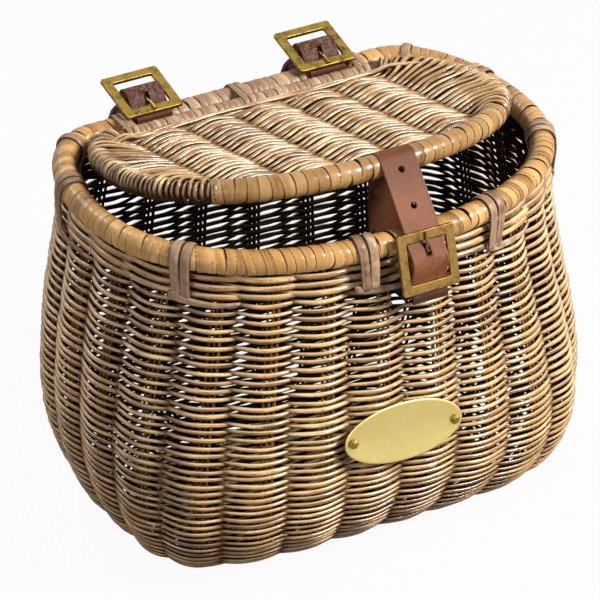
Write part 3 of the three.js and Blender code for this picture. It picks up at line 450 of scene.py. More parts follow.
def pole_material(name, dark, pale):
    """A bare bent pole with a cloudy grain."""
    material, b = new_material(name)
    coordinates = b.add("ShaderNodeTexCoord", {}, {}, "Object")
    grain = b.noise(coordinates, 90.0, 4.0, 0.6)
    colour = b.blend(b.smooth(grain, 0.35, 0.7), dark, pale)
    finish_material(b, colour, grain * 0.2 + 0.55, grain, 0.3, 0.0004)
    return material


def leather_material(name, middle_x, base, rough, shine, glint_share, shade_from_y, shade_heights):
    """Leather: mottled face, fine grain, edges paled by wear, pale scuffs that partly stand for sheen,
    painted glints on upward faces, darker towards the bend at the top, and near-black painted shade behind a
    given y and under a given height.
    """
    material, b = new_material(name)
    coordinates = b.add("ShaderNodeTexCoord", {}, {}, "Object")
    mottle = b.noise(coordinates, 70.0, 4.0, 0.6)
    cloud = b.noise(coordinates, 22.0, 2.0, 0.5)
    grain = b.add("ShaderNodeTexVoronoi", {"feature": "F1"}, {"Vector": coordinates, "Scale": 1500.0})
    speck = b.smooth(b.noise(coordinates, 900.0, 3.0, 0.7), 0.5, 0.68)
    # Pale scuffs: partly real scuffs, partly a painted sheen
    scuff_and_sheen = b.smooth(b.noise(coordinates, 330.0, 3.0, 0.65), 0.58, 0.74)
    colour = b.add("ShaderNodeValToRGB", {"stops": [
        (0.25, shade(base, 0.42)), (0.5, base), (0.75, shade(base, 1.6))]}, {0: mottle * 0.6 + cloud * 0.4})
    colour = b.blend(speck * 0.5, colour, shade(base, 2.3))
    colour = b.blend(scuff_and_sheen * 0.3, colour, shade(base, 2.4))
    sky = b.add("ShaderNodeSeparateXYZ", {}, {0: b.sibling(coordinates, "Normal")}, 2)
    # Painted highlight: pale glints in patches on faces that point up
    glint_patches = b.smooth(b.noise(coordinates, 420.0, 3.0, 0.65), 0.42, 0.68) * b.smooth(sky, 0.45, 0.85)
    colour = b.blend(glint_patches * glint_share, colour, LEATHER_GLINT)
    x = b.add("ShaderNodeSeparateXYZ", {}, {0: coordinates}, 0)
    y, z = b.sibling(x, 1), b.sibling(x, 2)
    side = b.maths("ABSOLUTE", b.maths("ABSOLUTE", x) - middle_x * MM)
    edge = b.smooth(side, (STRAP_HALF - 1.1) * MM, (STRAP_HALF - 0.2) * MM)
    colour = b.blend(edge * 0.55, colour, shade(base, 2.3))
    crease = b.smooth(side, (STRAP_HALF - 2.4) * MM, (STRAP_HALF - 1.9) * MM) * (1.0 - edge)
    colour = b.blend(crease * 0.35, colour, shade(base, 0.45))
    # Painted shade: near black behind a given y and below a given height; the belt is also made darker
    # towards the bend at the top
    low_z, high_z = shade_heights
    above = b.smooth(z, high_z, high_z + 8 * MM)
    behind = b.smooth(y, shade_from_y - 2 * MM, shade_from_y + 3 * MM) * (1.0 - above)
    under = 1.0 - b.smooth(z, low_z - 5 * MM, low_z + 2 * MM)
    bend = b.smooth(z, high_z - 14 * MM, high_z + 2 * MM)
    colour = b.blend(bend * 0.6, colour, shade(base, 0.45))
    colour = b.blend(b.maths("MAXIMUM", behind, under) * 0.9, colour, shade(base, 0.06))
    finish_material(b, colour, mottle * 0.25 + rough, grain * 0.5 + mottle + speck * 0.4, 0.45, 0.0004,
                    {"Specular IOR Level": shine})
    return material


def brass_material(name, bright, tarnish, rough, wear):
    """Brass with tarnish in cloudy patches and fine rubbing marks."""
    material, b = new_material(name)
    coordinates = b.add("ShaderNodeTexCoord", {}, {}, "Object")
    cloud = b.noise(coordinates, 160.0, 4.0, 0.65)
    rub = b.noise(b.vector("MULTIPLY", coordinates, (2400.0, 260.0, 260.0)), 1.0, 2.0, 0.6)
    grain = b.noise(coordinates, 1300.0, 2.0, 0.6)
    patch = b.smooth(cloud + (rub - 0.5) * 0.3 + (grain - 0.5) * 0.5, 0.5 - wear, 0.74)
    colour = b.blend(patch, bright, tarnish)
    finish_material(b, colour, patch * 0.22 + rub * 0.15 + rough, rub, 0.08, 0.0002, {"Metallic": 1.0})
    return material


# Plan outlines and levels of the wall


def outline(level, q):
    """Points (x, y) of a plan outline at parameters q: a rounded front and a straight back."""
    turns = np.mod(np.atleast_1d(np.asarray(q, float)), 1.0) * 4
    half, front, back = level["half"], level["front"], level["back"]
    waist, corner, power = level["waist"], level["corner"], level["power"]
    angle = -math.pi * turns / 2
    c, s = np.cos(angle), np.sin(angle)
    reach = (np.abs(c) ** power + np.abs(s) ** power) ** (-1 / power)
    x, y = half * reach * c, waist + (waist - front) * reach * s
    left = (turns - 2) / 0.75 * math.pi / 2
    straight = (turns - 2.75) / 0.5
    right = (turns - 3.25) / 0.75 * math.pi / 2
    x = np.where(turns >= 2, -half + corner - corner * np.cos(left), x)
    y = np.where(turns >= 2, waist + (back - waist) * np.sin(left), y)
    x = np.where(turns >= 2.75, (-half + corner) * (1 - 2 * straight), x)
    y = np.where(turns >= 2.75, back, y)
    x = np.where(turns >= 3.25, half - corner + corner * np.sin(right), x)
    y = np.where(turns >= 3.25, waist + (back - waist) * np.cos(right), y)
    return np.stack([x, y], axis=1)


def swell(z, top, belly, base):
    if z > BELLY_HEIGHT:
        down = (RIM_HEIGHT - z) / (RIM_HEIGHT - BELLY_HEIGHT)
        return top + (belly - top) * math.sin(math.pi / 2 * max(down, 0.0)) ** SHOULDER_CURVE
    under = 1 - max(z, 0.0) / BELLY_HEIGHT
    return base + (belly - base) * math.sqrt(1 - under ** FOOT_CURVE)


def wall_level(z, inset=0.0):
    low = min(max(1 - z / (RIM_HEIGHT - SQUARE_BELOW_RIM), 0.0), 1.0) ** 2
    return {
        "half": swell(z, RIM_HALF_WIDTH + WALL_OUTSET, BELLY_HALF_WIDTH, BASE_HALF_WIDTH) - inset,
        "front": swell(z, -RIM_HALF_DEPTH - WALL_OUTSET, -BELLY_HALF_DEPTH, BASE_FRONT) + inset,
        "back": swell(z, RIM_HALF_DEPTH + WALL_OUTSET, BELLY_HALF_DEPTH, BASE_BACK) - inset,
        "waist": WAIST_Y,
        "corner": RIM_CORNER + WALL_OUTSET - inset,
        "power": TOP_ROUNDNESS + (BASE_ROUNDNESS - TOP_ROUNDNESS) * low,
    }


RIM_LEVEL = {"half": RIM_HALF_WIDTH, "front": -RIM_HALF_DEPTH, "back": RIM_HALF_DEPTH, "waist": WAIST_Y,
             "corner": RIM_CORNER, "power": TOP_ROUNDNESS}
LID_LEVEL = {"half": LID_HALF_WIDTH, "front": -LID_DEPTH, "back": 0.0, "waist": LID_WAIST,
             "corner": LID_CORNER, "power": TOP_ROUNDNESS}


def even_parameters(level, start, end, count, samples, closed=False):
    """Outline parameters at even steps of length from start to end. A closed run leaves its end out."""
    fine = np.linspace(start, end, samples)
    lengths = run_lengths(outline(level, fine))
    return np.interp(np.linspace(0, lengths[-1], count, endpoint=not closed), lengths, fine)


def parameter_at(level, x, on_front):
    """The parameter at which an outline passes x, on the front or on the back."""
    q = np.linspace(0, 0.5, 4001) if on_front else np.linspace(0.5, 1, 4001)
    return float(q[np.argmin(np.abs(outline(level, q)[:, 0] - x))])


def outline_frames(level, q, z):
    """Places, tangents and outward directions along an outline at a height."""
    here = outline(level, q)
    along = unit(outline(level, np.asarray(q) + OUTLINE_STEP) - outline(level, np.asarray(q) - OUTLINE_STEP))
    flat = np.zeros(len(here))
    place = np.column_stack([here, flat + z])
    tangent = np.column_stack([along, flat])
    out = np.column_stack([-along[:, 1], along[:, 0], flat])
    return place, tangent, out


def wall_surface(z, q, inset):
    """Points, outward normals and upward directions of the wall's middle at one height."""
    level, higher = wall_level(z, inset), z + HEIGHT_STEP
    here = np.column_stack([outline(level, q), np.full(len(q), z)])
    above = np.column_stack([outline(wall_level(higher, inset), q), np.full(len(q), higher)])
    upward = unit(above - here)
    flat = outline(level, q + OUTLINE_STEP) - outline(level, q - OUTLINE_STEP)
    along = unit(np.column_stack([flat, np.zeros(len(q))]))
    normal = unit(np.cross(along, upward))
    middle = np.array([0.0, WAIST_Y, z])
    facing = np.sign(np.sum(normal * (here - middle), axis=1, keepdims=True))
    return here, normal * facing, upward


def in_lid(points):
    """Moves points from the lid's own axes to the basket's."""
    c, s = math.cos(-LID_TILT), math.sin(-LID_TILT)
    points = np.asarray(points, float)
    return np.column_stack([points[:, 0], points[:, 1] * c - points[:, 2] * s + HINGE_Y,
                            points[:, 1] * s + points[:, 2] * c + HINGE_Z])


def lid_front():
    """The middle of the lid's front edge, in metres."""
    return Vector(in_lid([[0.0, -LID_DEPTH, 0.0]])[0]) * MM


def turned_by_lid(directions):
    return in_lid(directions) - np.array([0.0, HINGE_Y, HINGE_Z])


# Guides: polylines with attributes that the node trees read


class Guide:
    """Polylines with values at their points, kept in millimetres until the mesh is made."""

    def __init__(self):
        self.points = []
        self.edges = []
        self.values = {}
        self.lines = 0

    def line(self, points, closed=False, keep=None, **values):
        """Adds a polyline. Points where keep is false are left out, and the line is cut there."""
        points = np.asarray(points, float)
        count = len(points)
        start = sum(len(part) for part in self.points)
        keep = np.ones(count, bool) if keep is None else keep
        links = [(i, (i + 1) % count) for i in range(count if closed else count - 1)]
        self.edges += [(start + a, start + b) for a, b in links if keep[a] and keep[b]]
        self.points.append(points)
        values.setdefault("serial", self.lines)
        for name, value in values.items():
            shape = (count, 3) if name in VECTOR_VALUES else (count,)
            self.values.setdefault(name, []).append(np.broadcast_to(np.asarray(value, float), shape))
        self.lines += 1

    def mesh(self, name):
        mesh = bpy.data.meshes.new(name)
        mesh.from_pydata((np.concatenate(self.points) * MM).tolist(), self.edges, [])
        for key, parts in self.values.items():
            values = np.concatenate(parts).astype(np.float32)
            kind, field = ("FLOAT_VECTOR", "vector") if key in VECTOR_VALUES else ("FLOAT", "value")
            layer = mesh.attributes.new(key, kind, "POINT")
            layer.data.foreach_set(field, values.ravel())
        return mesh


VECTOR_VALUES = ("outward", "across_way")


def settle(piece):
    """Turns a piece's modifiers into its plain mesh."""
    graph = bpy.context.evaluated_depsgraph_get()
    mesh = bpy.data.meshes.new_from_object(piece.evaluated_get(graph))
    old = piece.data
    piece.modifiers.clear()
    piece.data = mesh
    bpy.data.meshes.remove(old)
    mesh.name = piece.name


def grow(name, guide, tree, inputs):
    """Runs a node tree on a guide and keeps the result as a plain mesh object."""
    holder = add_object(name, guide.mesh(name + "_guide"))
    modifier = holder.modifiers.new("Grow", "NODES")
    modifier.node_group = tree
    for item in tree.interface.items_tree:
        if item.item_type == "SOCKET" and item.in_out == "INPUT" and item.name in inputs:
            modifier[item.identifier] = inputs[item.name]
    settle(holder)
    if not holder.data.polygons:
        raise RuntimeError(f"{name}: the node tree made no faces")
    return holder


def new_tree(name, numbers, wholes):
    """A geometry node tree with inputs for numbers, whole numbers and a material, and its flows."""
    tree = bpy.data.node_groups.new(name, "GeometryNodeTree")
    inputs = [("Geometry", "Geometry")]
    inputs += [(label, "Float") for label in numbers]
    inputs += [(label, "Int") for label in wholes]
    inputs += [("Material", "Material")]
    for label, kind in inputs:
        tree.interface.new_socket(label, in_out="INPUT", socket_type="NodeSocket" + kind)
    tree.interface.new_socket("Geometry", in_out="OUTPUT", socket_type="NodeSocketGeometry")
    builder = Builder(tree)
    source = tree.nodes.new("NodeGroupInput")
    flows = {socket.name: Flow(builder, socket) for socket in source.outputs if socket.name}
    return tree, builder, flows


def named(builder, name, kind="FLOAT"):
    return builder.add("GeometryNodeInputNamedAttribute", {"data_type": kind}, {"Name": name})


def store(builder, geometry, name, value, domain="POINT"):
    return builder.add("GeometryNodeStoreNamedAttribute", {"data_type": "FLOAT", "domain": domain},
                       {"Geometry": geometry, "Name": name, "Value": value})


def end_tree(builder, geometry, material):
    """Realizes, smooths and gives the material, as every tree ends."""
    solid = builder.add("GeometryNodeRealizeInstances", {}, {"Geometry": geometry})
    smooth = builder.add("GeometryNodeSetShadeSmooth", {}, {"Geometry": solid})
    dressed = builder.add("GeometryNodeSetMaterial", {}, {"Geometry": smooth, "Material": material})
    builder.add("NodeGroupOutput", {}, {"Geometry": dressed})


def random_number(builder, low, high, seed, identity=None):
    sockets = {"Min_001": low, "Max_001": high, "Seed": seed}
    if identity is not None:
        sockets["ID"] = identity
    return builder.add("FunctionNodeRandomValue", {"data_type": "FLOAT"}, sockets, "Value_001")


def twined_rods_tree():
    """Rods that follow guide lines, twined in pairs: out over one stake, in behind the next."""
    numbers = ("Rod radius", "Twine depth", "Twine lift", "Sag", "Taper", "Wander", "Unevenness",
               "Rod length")
    tree, b, flows = new_tree("Twined rods", numbers, ("Sides", "Seed"))
    phase, serial = named(b, "phase"), named(b, "serial")
    swing, thick = named(b, "swing"), named(b, "thick")
    outward = named(b, "outward", "FLOAT_VECTOR")
    upward = named(b, "across_way", "FLOAT_VECTOR")
    angle = phase * math.pi
    depth = b.maths("COSINE", angle) * swing * flows["Twine depth"]
    hang = b.maths("COSINE", angle * 2.0) * flows["Sag"] * 0.5
    lift = (b.maths("SINE", angle) * flows["Twine lift"] - hang) * swing
    place = b.add("GeometryNodeInputPosition")
    drift = b.add("ShaderNodeTexNoise", {"noise_dimensions": "4D"}, {
        "Vector": place, "W": serial * LINE_STEP + flows["Seed"], "Scale": WANDER_SCALE,
        "Detail": 1.0}, "Color")
    drift = b.vector("SCALE", b.vector("SUBTRACT", drift, (0.5, 0.5, 0.5)), scale=flows["Wander"])
    shift = b.vector("ADD", b.vector("SCALE", outward, scale=depth), b.vector("SCALE", upward, scale=lift))
    moved = b.add("GeometryNodeSetPosition", {}, {
        "Geometry": flows["Geometry"], "Offset": b.vector("ADD", shift, drift)})
    rod = b.maths("FLOOR", (phase + serial * ROD_SHIFT) / flows["Rod length"]) + serial * RODS_PER_LINE
    tone = random_number(b, 0.0, 1.0, flows["Seed"], rod) + named(b, "bias")
    girth = random_number(b, -1.0, 1.0, flows["Seed"] + 5, rod)
    toned = store(b, store(b, moved, "tone", tone), "wave", b.maths("COSINE", angle))
    waist = 1.0 - (1.0 - b.maths("COSINE", angle)) * swing * flows["Taper"] * 0.5
    girthed = store(b, toned, "girth", thick * waist * (1.0 + girth * flows["Unevenness"]))
    curve = b.add("GeometryNodeMeshToCurve", {}, {0: girthed})
    upright = b.add("GeometryNodeSetCurveNormal", {"mode": "Z_UP"}, {0: curve})
    length = b.sibling(b.add("GeometryNodeSplineParameter"), "Length")
    marked = store(b, upright, "along", length)
    ring = b.add("GeometryNodeCurvePrimitiveCircle", {"mode": "RADIUS"}, {
        "Resolution": flows["Sides"], "Radius": 1.0})
    ring = store(b, ring, "around", b.add("GeometryNodeSplineParameter"))
    mesh = b.add("GeometryNodeCurveToMesh", {}, {
        "Curve": marked, "Profile Curve": ring, "Scale": named(b, "girth") * flows["Rod radius"],
        "Fill Caps": True})
    end_tree(b, mesh, flows["Material"])
    return tree


def wound_strips_tree():
    """Turns of a flat strip round a tube that follows the guide lines."""
    numbers = ("Pitch", "Strip width", "Tube radius", "Crown", "Overlap", "Slant", "Unevenness")
    tree, b, flows = new_tree("Wound strips", numbers, ("Seed",))
    grid = b.add("GeometryNodeMeshGrid", {}, {
        "Size X": 1.0, "Size Y": 1.0, "Vertices X": STRIP_POINTS[0], "Vertices Y": STRIP_POINTS[1]})
    place = b.add("GeometryNodeInputPosition")
    x = b.add("ShaderNodeSeparateXYZ", {}, {0: place}, 0)
    y = b.sibling(x, 1)
    across = x * 2.0
    grid = store(b, store(b, grid, "across", across), "around", y + 0.5)
    crown = flows["Crown"] * (1.0 - b.maths("ABSOLUTE", across) ** CROWN_POWER)
    radius = flows["Tube radius"] + crown + flows["Overlap"] * across
    turn = y * (2 * math.pi)
    side = b.maths("COSINE", turn) * radius
    strip = b.add("GeometryNodeSetPosition", {}, {"Geometry": grid, "Position": b.combine(
        x * flows["Strip width"] - side * flows["Slant"], side, b.maths("SINE", turn) * radius)})
    strip = b.add("GeometryNodeMergeByDistance", {}, {"Geometry": strip, "Distance": STRIP_MERGE})
    curve = b.add("GeometryNodeMeshToCurve", {}, {0: flows["Geometry"]})
    points = b.add("GeometryNodeCurveToPoints", {"mode": "LENGTH"}, {
        "Curve": curve, "Length": flows["Pitch"]})
    aligned = b.add("FunctionNodeAlignRotationToVector", {"axis": "X"}, {
        "Vector": b.sibling(points, "Tangent")})
    wobble = [random_number(b, -1.0, 1.0, flows["Seed"] + k) * flows["Unevenness"] for k in (1, 2, 3)]
    tilt = b.add("FunctionNodeEulerToRotation", {}, {0: b.combine(
        wobble[0] * TURN_ROLL, wobble[1] * TURN_LEAN, wobble[2] * TURN_LEAN)})
    turned = b.add("FunctionNodeRotateRotation", {"rotation_space": "LOCAL"}, {0: aligned, 1: tilt})
    girth = 1.0 + random_number(b, *TURN_GIRTH, flows["Seed"] + 4) * flows["Unevenness"]
    stretch = 1.0 + random_number(b, *TURN_STRETCH, flows["Seed"] + 6) * flows["Unevenness"]
    turns = b.add("GeometryNodeInstanceOnPoints", {}, {
        "Points": points, "Instance": strip, "Rotation": turned, "Scale": b.combine(stretch, girth, girth)})
    turns = store(b, turns, "tone", random_number(b, 0.0, 1.0, flows["Seed"] + 7), "INSTANCE")
    end_tree(b, turns, flows["Material"])
    return tree


TREES = {}


def tree_named(name):
    """The shared node trees, made once."""
    if name not in TREES:
        TREES[name] = {"twined": twined_rods_tree, "wound": wound_strips_tree}[name]()
    return TREES[name]


MATERIALS = {}


def material_named(name):
    """The shared materials, made once from the colours in the settings."""
    if name not in MATERIALS:
        MATERIALS[name] = MATERIAL_MAKERS[name](settings().colours)
    return MATERIALS[name]


def opaque(value):
    """A colour of the settings with full alpha."""
    return tuple(value) + (1.0,)


def shades(colours, name, shares=(1.0, 1.0, 1.0)):
    """The dark, middle and pale colour of one kind in the settings, each made darker by its share."""
    depths = zip(("dark", "middle", "pale"), shares)
    return [shade(opaque(getattr(colours, f"{name}_{depth}")), share) for depth, share in depths]


MATERIAL_MAKERS = {
    "wicker": lambda c: rod_material(
        "wicker_rods", *shades(c, "rod"), opaque(c.top_highlight), inside_shade_share=0.97, light_from_above=0.85),
    "pale_wicker": lambda c: rod_material(
        "peeled_rods", *shades(c, "lid"), opaque(c.top_highlight), inside_shade_share=0.85, light_from_above=0.0),
    # A darker copy of the cane: painted shade on the lid's front edge, which gets less light than the rim
    "lid_cane": lambda c: strip_material(
        "lid_cane", *shades(c, "cane", (0.8, 0.7, 0.7)), gloss=0.3, coat=0.4),
    "cane": lambda c: strip_material("wound_cane", *shades(c, "cane"), gloss=0.3, coat=0.3),
    "grey_cane": lambda c: strip_material("weathered_cane", *shades(c, "grey"), gloss=0.4, coat=0.15),
    "pole": lambda c: pole_material("bent_pole", shade(opaque(c.cane_dark), 0.4), opaque(c.cane_dark)),
    "front_leather": lambda c: leather_material(
        "strap_leather_front", FRONT_STRAP_X, opaque(c.leather), rough=0.4, shine=0.2, glint_share=0.0,
        shade_from_y=lid_front().y + LID_CORE_RADIUS * MM,
        shade_heights=(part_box("front_buckle")[0].z, lid_front().z)),
    "rear_leather": lambda c: leather_material(
        "strap_leather_rear", REAR_STRAP_X, opaque(c.rear_leather), rough=0.3, shine=0.14, glint_share=0.7,
        shade_from_y=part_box("handlebar_strap_left")[1].y,
        shade_heights=(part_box("handlebar_strap_left")[0].z, RIM_HEIGHT * MM)),
    "old_brass": lambda c: brass_material(
        "old_brass", opaque(c.brass), opaque(c.tarnish), rough=0.34, wear=0.12),
    "rear_brass": lambda c: brass_material(
        "handled_brass", opaque(c.rear_brass), opaque(c.tarnish), rough=0.3, wear=0.08),
    "pale_brass": lambda c: brass_material(
        "plate_brass", opaque(c.plate), shade(opaque(c.plate), 0.8), rough=0.34, wear=0.0),
}


def grow_rods(name, guide, material, radius, seed, sizes, sides=6):
    """Grows rods along a guide. Sizes holds more inputs of the twined tree."""
    return grow(name, guide, tree_named("twined"), {
        "Rod radius": radius, "Sides": sides, "Seed": seed, "Material": material_named(material), **sizes})


def grow_cane(name, guide, material, pitch, seed, sizes):
    """Winds cane round a guide. Sizes holds more inputs of the wound tree."""
    return grow(name, guide, tree_named("wound"), {
        "Pitch": pitch, "Unevenness": CANE_UNEVENNESS, "Seed": seed, "Material": material_named(material),
        **sizes})


def finish_piece(piece, body, slot, *nodes):
    """Rides a piece on its body and hides the nodes that it stands for."""
    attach(piece, body)
    if nodes:
        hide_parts(*nodes)
    return piece


def object_from(name, vertices, faces, material):
    """A smooth mesh object from points in millimetres."""
    mesh = bpy.data.meshes.new(name)
    mesh.from_pydata((np.asarray(vertices, float) * MM).tolist(), [], faces)
    mesh.shade_smooth()
    mesh.materials.append(material)
    return add_object(name, mesh)


def face_outward(mesh, merge_within=0.0):
    """Turns a mesh's faces outward. Points that lie within the distance of each other are merged first."""
    with editing(mesh) as edit:
        if merge_within:
            bmesh.ops.remove_doubles(edit, verts=edit.verts, dist=merge_within)
        bmesh.ops.recalc_face_normals(edit, faces=edit.faces)


# Wall and base


def wall_rows(weave):
    """Heights of the rows: even steps along the front's profile, closer together near the base."""
    heights = []
    z = weave.first_row / MM
    while z < RIM_HEIGHT - weave.below_rim / MM:
        heights.append(z)
        pitch = np.interp(z, [0, weave.tight_below / MM, RIM_HEIGHT],
                          [weave.row_pitch_low / MM, weave.row_pitch / MM, weave.row_pitch_high / MM])
        run = abs(wall_level(z + 0.5)["front"] - wall_level(z)["front"]) / 0.5
        z += pitch / math.sqrt(1 + run * run)
    heights = np.array(heights)
    top = RIM_HEIGHT - weave.below_rim / MM
    return heights[0] + (heights - heights[0]) * (top - heights[0]) / (heights[-1] - heights[0])


def in_strap_slot(points):
    """Where a belt goes through the wall, so that the rods stop there."""
    x, y, z = points.T
    beside_front = np.abs(x - FRONT_STRAP_X) < STRAP_GAP_HALF
    beside_rear = np.abs(np.abs(x) - REAR_STRAP_X) < STRAP_GAP_HALF
    front = beside_front & (y < 0) & (np.abs(z - FRONT_SLOT_Z) < SLOT_HALF)
    rear = beside_rear & (y > 0) & (np.abs(z - REAR_SLOT_Z) < SLOT_HALF)
    return front | rear


class BASKET_OT_wall(bpy.types.Operator):
    """Weave the wall: twined rods over groups of thin stakes, with thicker rows under the rim"""

    bl_idname = "basket.wall"
    bl_label = "Wall"

    def execute(self, context):
        weave = settings().wall
        count = STAKE_COUNT * POINTS_PER_STAKE
        belly = wall_level(BELLY_HEIGHT)
        first = parameter_at(belly, STAKE_OFFSET_X, True)
        q = even_parameters(belly, first, first + 1, count, WALL_SAMPLES, closed=True)
        stakes_passed = np.arange(count) / POINTS_PER_STAKE
        inset = WALL_THICKNESS / 2 + weave.inward / MM
        foot, rods, wale = Guide(), Guide(), Guide()
        chance = np.random.default_rng(5)
        for z in wall_rows(weave):
            low = 1 - min(z / BELLY_HEIGHT, 1.0)
            jitter = chance.uniform(-ROW_JITTER, ROW_JITTER) * (1 - low)
            points, normal, upward = wall_surface(z + jitter, q, inset)
            points = points + UP * max(1 - z / FOOT_RISE_ENDS, 0.0) * FOOT_RISE
            waled = z > RIM_HEIGHT - weave.wale_below_rim / MM
            guide, strands, pace = (wale, 3, 2 / 3) if waled else (foot if low else rods, 2, 1.0)
            for strand in range(strands):
                guide.line(
                    points, closed=True, keep=~in_strap_slot(points), outward=normal, across_way=upward,
                    phase=(stakes_passed - weave.lag + strand) * pace, swing=1.0 - FOOT_SWING_LOSS * low,
                    woven=1.0, thick=1.0 - FOOT_THINNING * low, bias=TONE_SHIFT - FOOT_SHADE * low)
        groups = (("wall_foot_rods", foot, 1.0, weave.sag), ("wall_rods", rods, 1.0, weave.sag),
                  ("wall_wale", wale, weave.wale_girth, 0.0))
        for name, guide, girth, sag in groups:
            piece = grow_rods(name, guide, "wicker", weave.rod_radius * girth, 11, {
                "Twine depth": weave.twine_depth, "Twine lift": weave.twine_lift, "Sag": sag,
                "Taper": weave.taper, "Wander": weave.wander, "Unevenness": 0.16, "Rod length": 5.0})
            finish_piece(piece, "basket", "wicker", "wall_weave")
        stakes = Guide()
        heights = np.linspace(STAKE_FOOT, RIM_HEIGHT - STAKE_BELOW_RIM, STAKE_POINTS)
        for stake in range(STAKE_COUNT):
            for offset in (-1, 0, 1):
                centre, around = [], []
                for z in heights:
                    spot = np.array([q[stake * POINTS_PER_STAKE]])
                    point, normal, upward = wall_surface(z, spot, inset)
                    side = np.cross(normal, upward)
                    centre.append(point[0] + side[0] * offset * weave.stake_spacing / MM)
                    around.append(normal[0])
                # Phase 1 with no swing marks the stakes as lying behind the rods, so they carry the painted
                # shade
                stakes.line(np.array(centre), outward=np.array(around), across_way=UP, phase=1.0, swing=0.0,
                            thick=1.0, woven=0.45)
        piece = grow_rods("wall_stakes", stakes, "wicker", weave.stake_radius, 23, {
            "Wander": 0.8 * MM, "Unevenness": 0.15, "Rod length": 9.0})
        finish_piece(piece, "basket", "wicker")
        return {"FINISHED"}


class BASKET_OT_base(bpy.types.Operator):
    """Weave the flat base"""

    bl_idname = "basket.base"
    bl_label = "Base"

    def execute(self, context):
        weave = settings().wall
        level = wall_level(0.0, WALL_THICKNESS / 2 + BASE_INSET)
        edge = outline(level, np.linspace(0, 1, 2000))
        rods = Guide()
        for y in np.arange(level["front"] + 2.5, level["back"] - 1.5, BASE_PITCH):
            near = edge[np.abs(edge[:, 1] - y) < 1.2]
            if len(near) < 4:
                continue
            reach = min(near[:, 0].max(), -near[:, 0].min()) - 1.0
            x = np.linspace(-reach, reach, BASE_ROD_POINTS)
            row = np.column_stack([x, np.full(len(x), y), np.full(len(x), BASE_THICKNESS / 2)])
            for strand in (0, 1):
                rods.line(row, outward=UP, across_way=Y_AXIS, phase=x / BASE_RIB_PITCH + strand, swing=1.0,
                          thick=1.0, woven=0.8)
        uneven = {"Wander": 0.3 * MM, "Unevenness": 0.1, "Rod length": 7.0}
        piece = grow_rods("base_rods", rods, "wicker", 1.6 * MM, 31, {
            "Twine depth": 1.3 * MM, "Twine lift": 1.1 * MM, **uneven})
        finish_piece(piece, "basket", "wicker", "base_panel")
        ribs = Guide()
        for x in np.arange(-BASE_RIB_REACH, BASE_RIB_REACH + 1, BASE_RIB_PITCH):
            y = np.linspace(level["front"] + 3, level["back"] - 3, BASE_RIB_POINTS)
            rib = np.column_stack([np.full(len(y), x), y, np.full(len(y), BASE_THICKNESS / 2)])
            ribs.line(rib, outward=UP, across_way=X_AXIS, phase=0.0, swing=0.0, thick=1.0, woven=0.0)
        piece = grow_rods("base_ribs", ribs, "wicker", weave.stake_radius * 1.2, 37, uneven)
        finish_piece(piece, "basket", "wicker")
        return {"FINISHED"}


# Rim, lashings and hinge loops


class BASKET_OT_rim(bpy.types.Operator):
    """Wind flat cane round the rim, in three lengths between the belts"""

    bl_idname = "basket.rim"
    bl_label = "Rim winding"

    def execute(self, context):
        bind = settings().binding
        ends = [
            (parameter_at(RIM_LEVEL, FRONT_STRAP_X - STRAP_GAP_HALF, True),
             parameter_at(RIM_LEVEL, -REAR_STRAP_X - STRAP_GAP_HALF, False)),
            (parameter_at(RIM_LEVEL, -REAR_STRAP_X + STRAP_GAP_HALF, False),
             parameter_at(RIM_LEVEL, REAR_STRAP_X - STRAP_GAP_HALF, False)),
            (parameter_at(RIM_LEVEL, REAR_STRAP_X + STRAP_GAP_HALF, False),
             parameter_at(RIM_LEVEL, FRONT_STRAP_X + STRAP_GAP_HALF, True) + 1),
        ]
        canes = (("cane", bind.rim_pitch), ("grey_cane", bind.back_pitch), ("cane", bind.rim_pitch))
        for (start, end), side, (cane, pitch) in zip(ends, ("left", "back", "right"), canes):
            guide = Guide()
            q = np.linspace(start, end, 240)
            guide.line(outline_frames(RIM_LEVEL, q, RIM_HEIGHT)[0])
            piece = grow_cane(f"rim_winding_{side}", guide, cane, pitch, 3, {
                "Strip width": pitch * 1.24, "Tube radius": 7.6 * MM, "Crown": 0.45 * MM,
                "Overlap": 0.22 * MM, "Slant": 0.32})
            finish_piece(piece, "basket", cane, f"rim_binding_{side}")
        dress(("rim_pole",), "pole")
        return {"FINISHED"}


def dress(nodes, material):
    """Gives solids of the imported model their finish."""
    for node in nodes:
        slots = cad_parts[node].data.materials
        slots.clear()
        slots.append(material_named(material))


def flat_band(places, sideways, outward, width, thickness, tone, closed=False):
    """Vertices, faces and strip values of a band with a crowned face along places; its width may vary."""
    places, sideways, outward = (np.asarray(a, float) for a in (places, sideways, outward))
    shares = np.cos(np.linspace(math.pi, 0, 9))
    crown = 0.5 * np.sqrt(1 - 0.97 * shares ** 2) * (1 - shares ** 8)
    face = np.column_stack([shares, crown])
    back = np.column_stack([shares[::-1][1:-1], -crown[1:-1]])
    section = np.concatenate([face, back])
    count, ring = len(places), len(section)
    half = (np.broadcast_to(np.asarray(width, float), count) / 2)[:, None, None]
    vertices = (places[:, None] + sideways[:, None] * section[None, :, :1] * half
                + outward[:, None] * section[None, :, 1:] * thickness).reshape(-1, 3)
    faces = []
    for k in range(count if closed else count - 1):
        following = (k + 1) % count
        for i in range(ring):
            nearby = (i + 1) % ring
            faces.append((k * ring + i, k * ring + nearby, following * ring + nearby, following * ring + i))
    if not closed:
        faces.append(tuple(range(ring))[::-1])
        faces.append(tuple((count - 1) * ring + i for i in range(ring)))
    steps = run_lengths(places) / BAND_GRAIN
    values = {
        "across": np.tile(section[:, 0], count),
        "around": np.repeat(steps, ring),
        "tone": np.full(count * ring, tone),
    }
    return vertices, faces, values


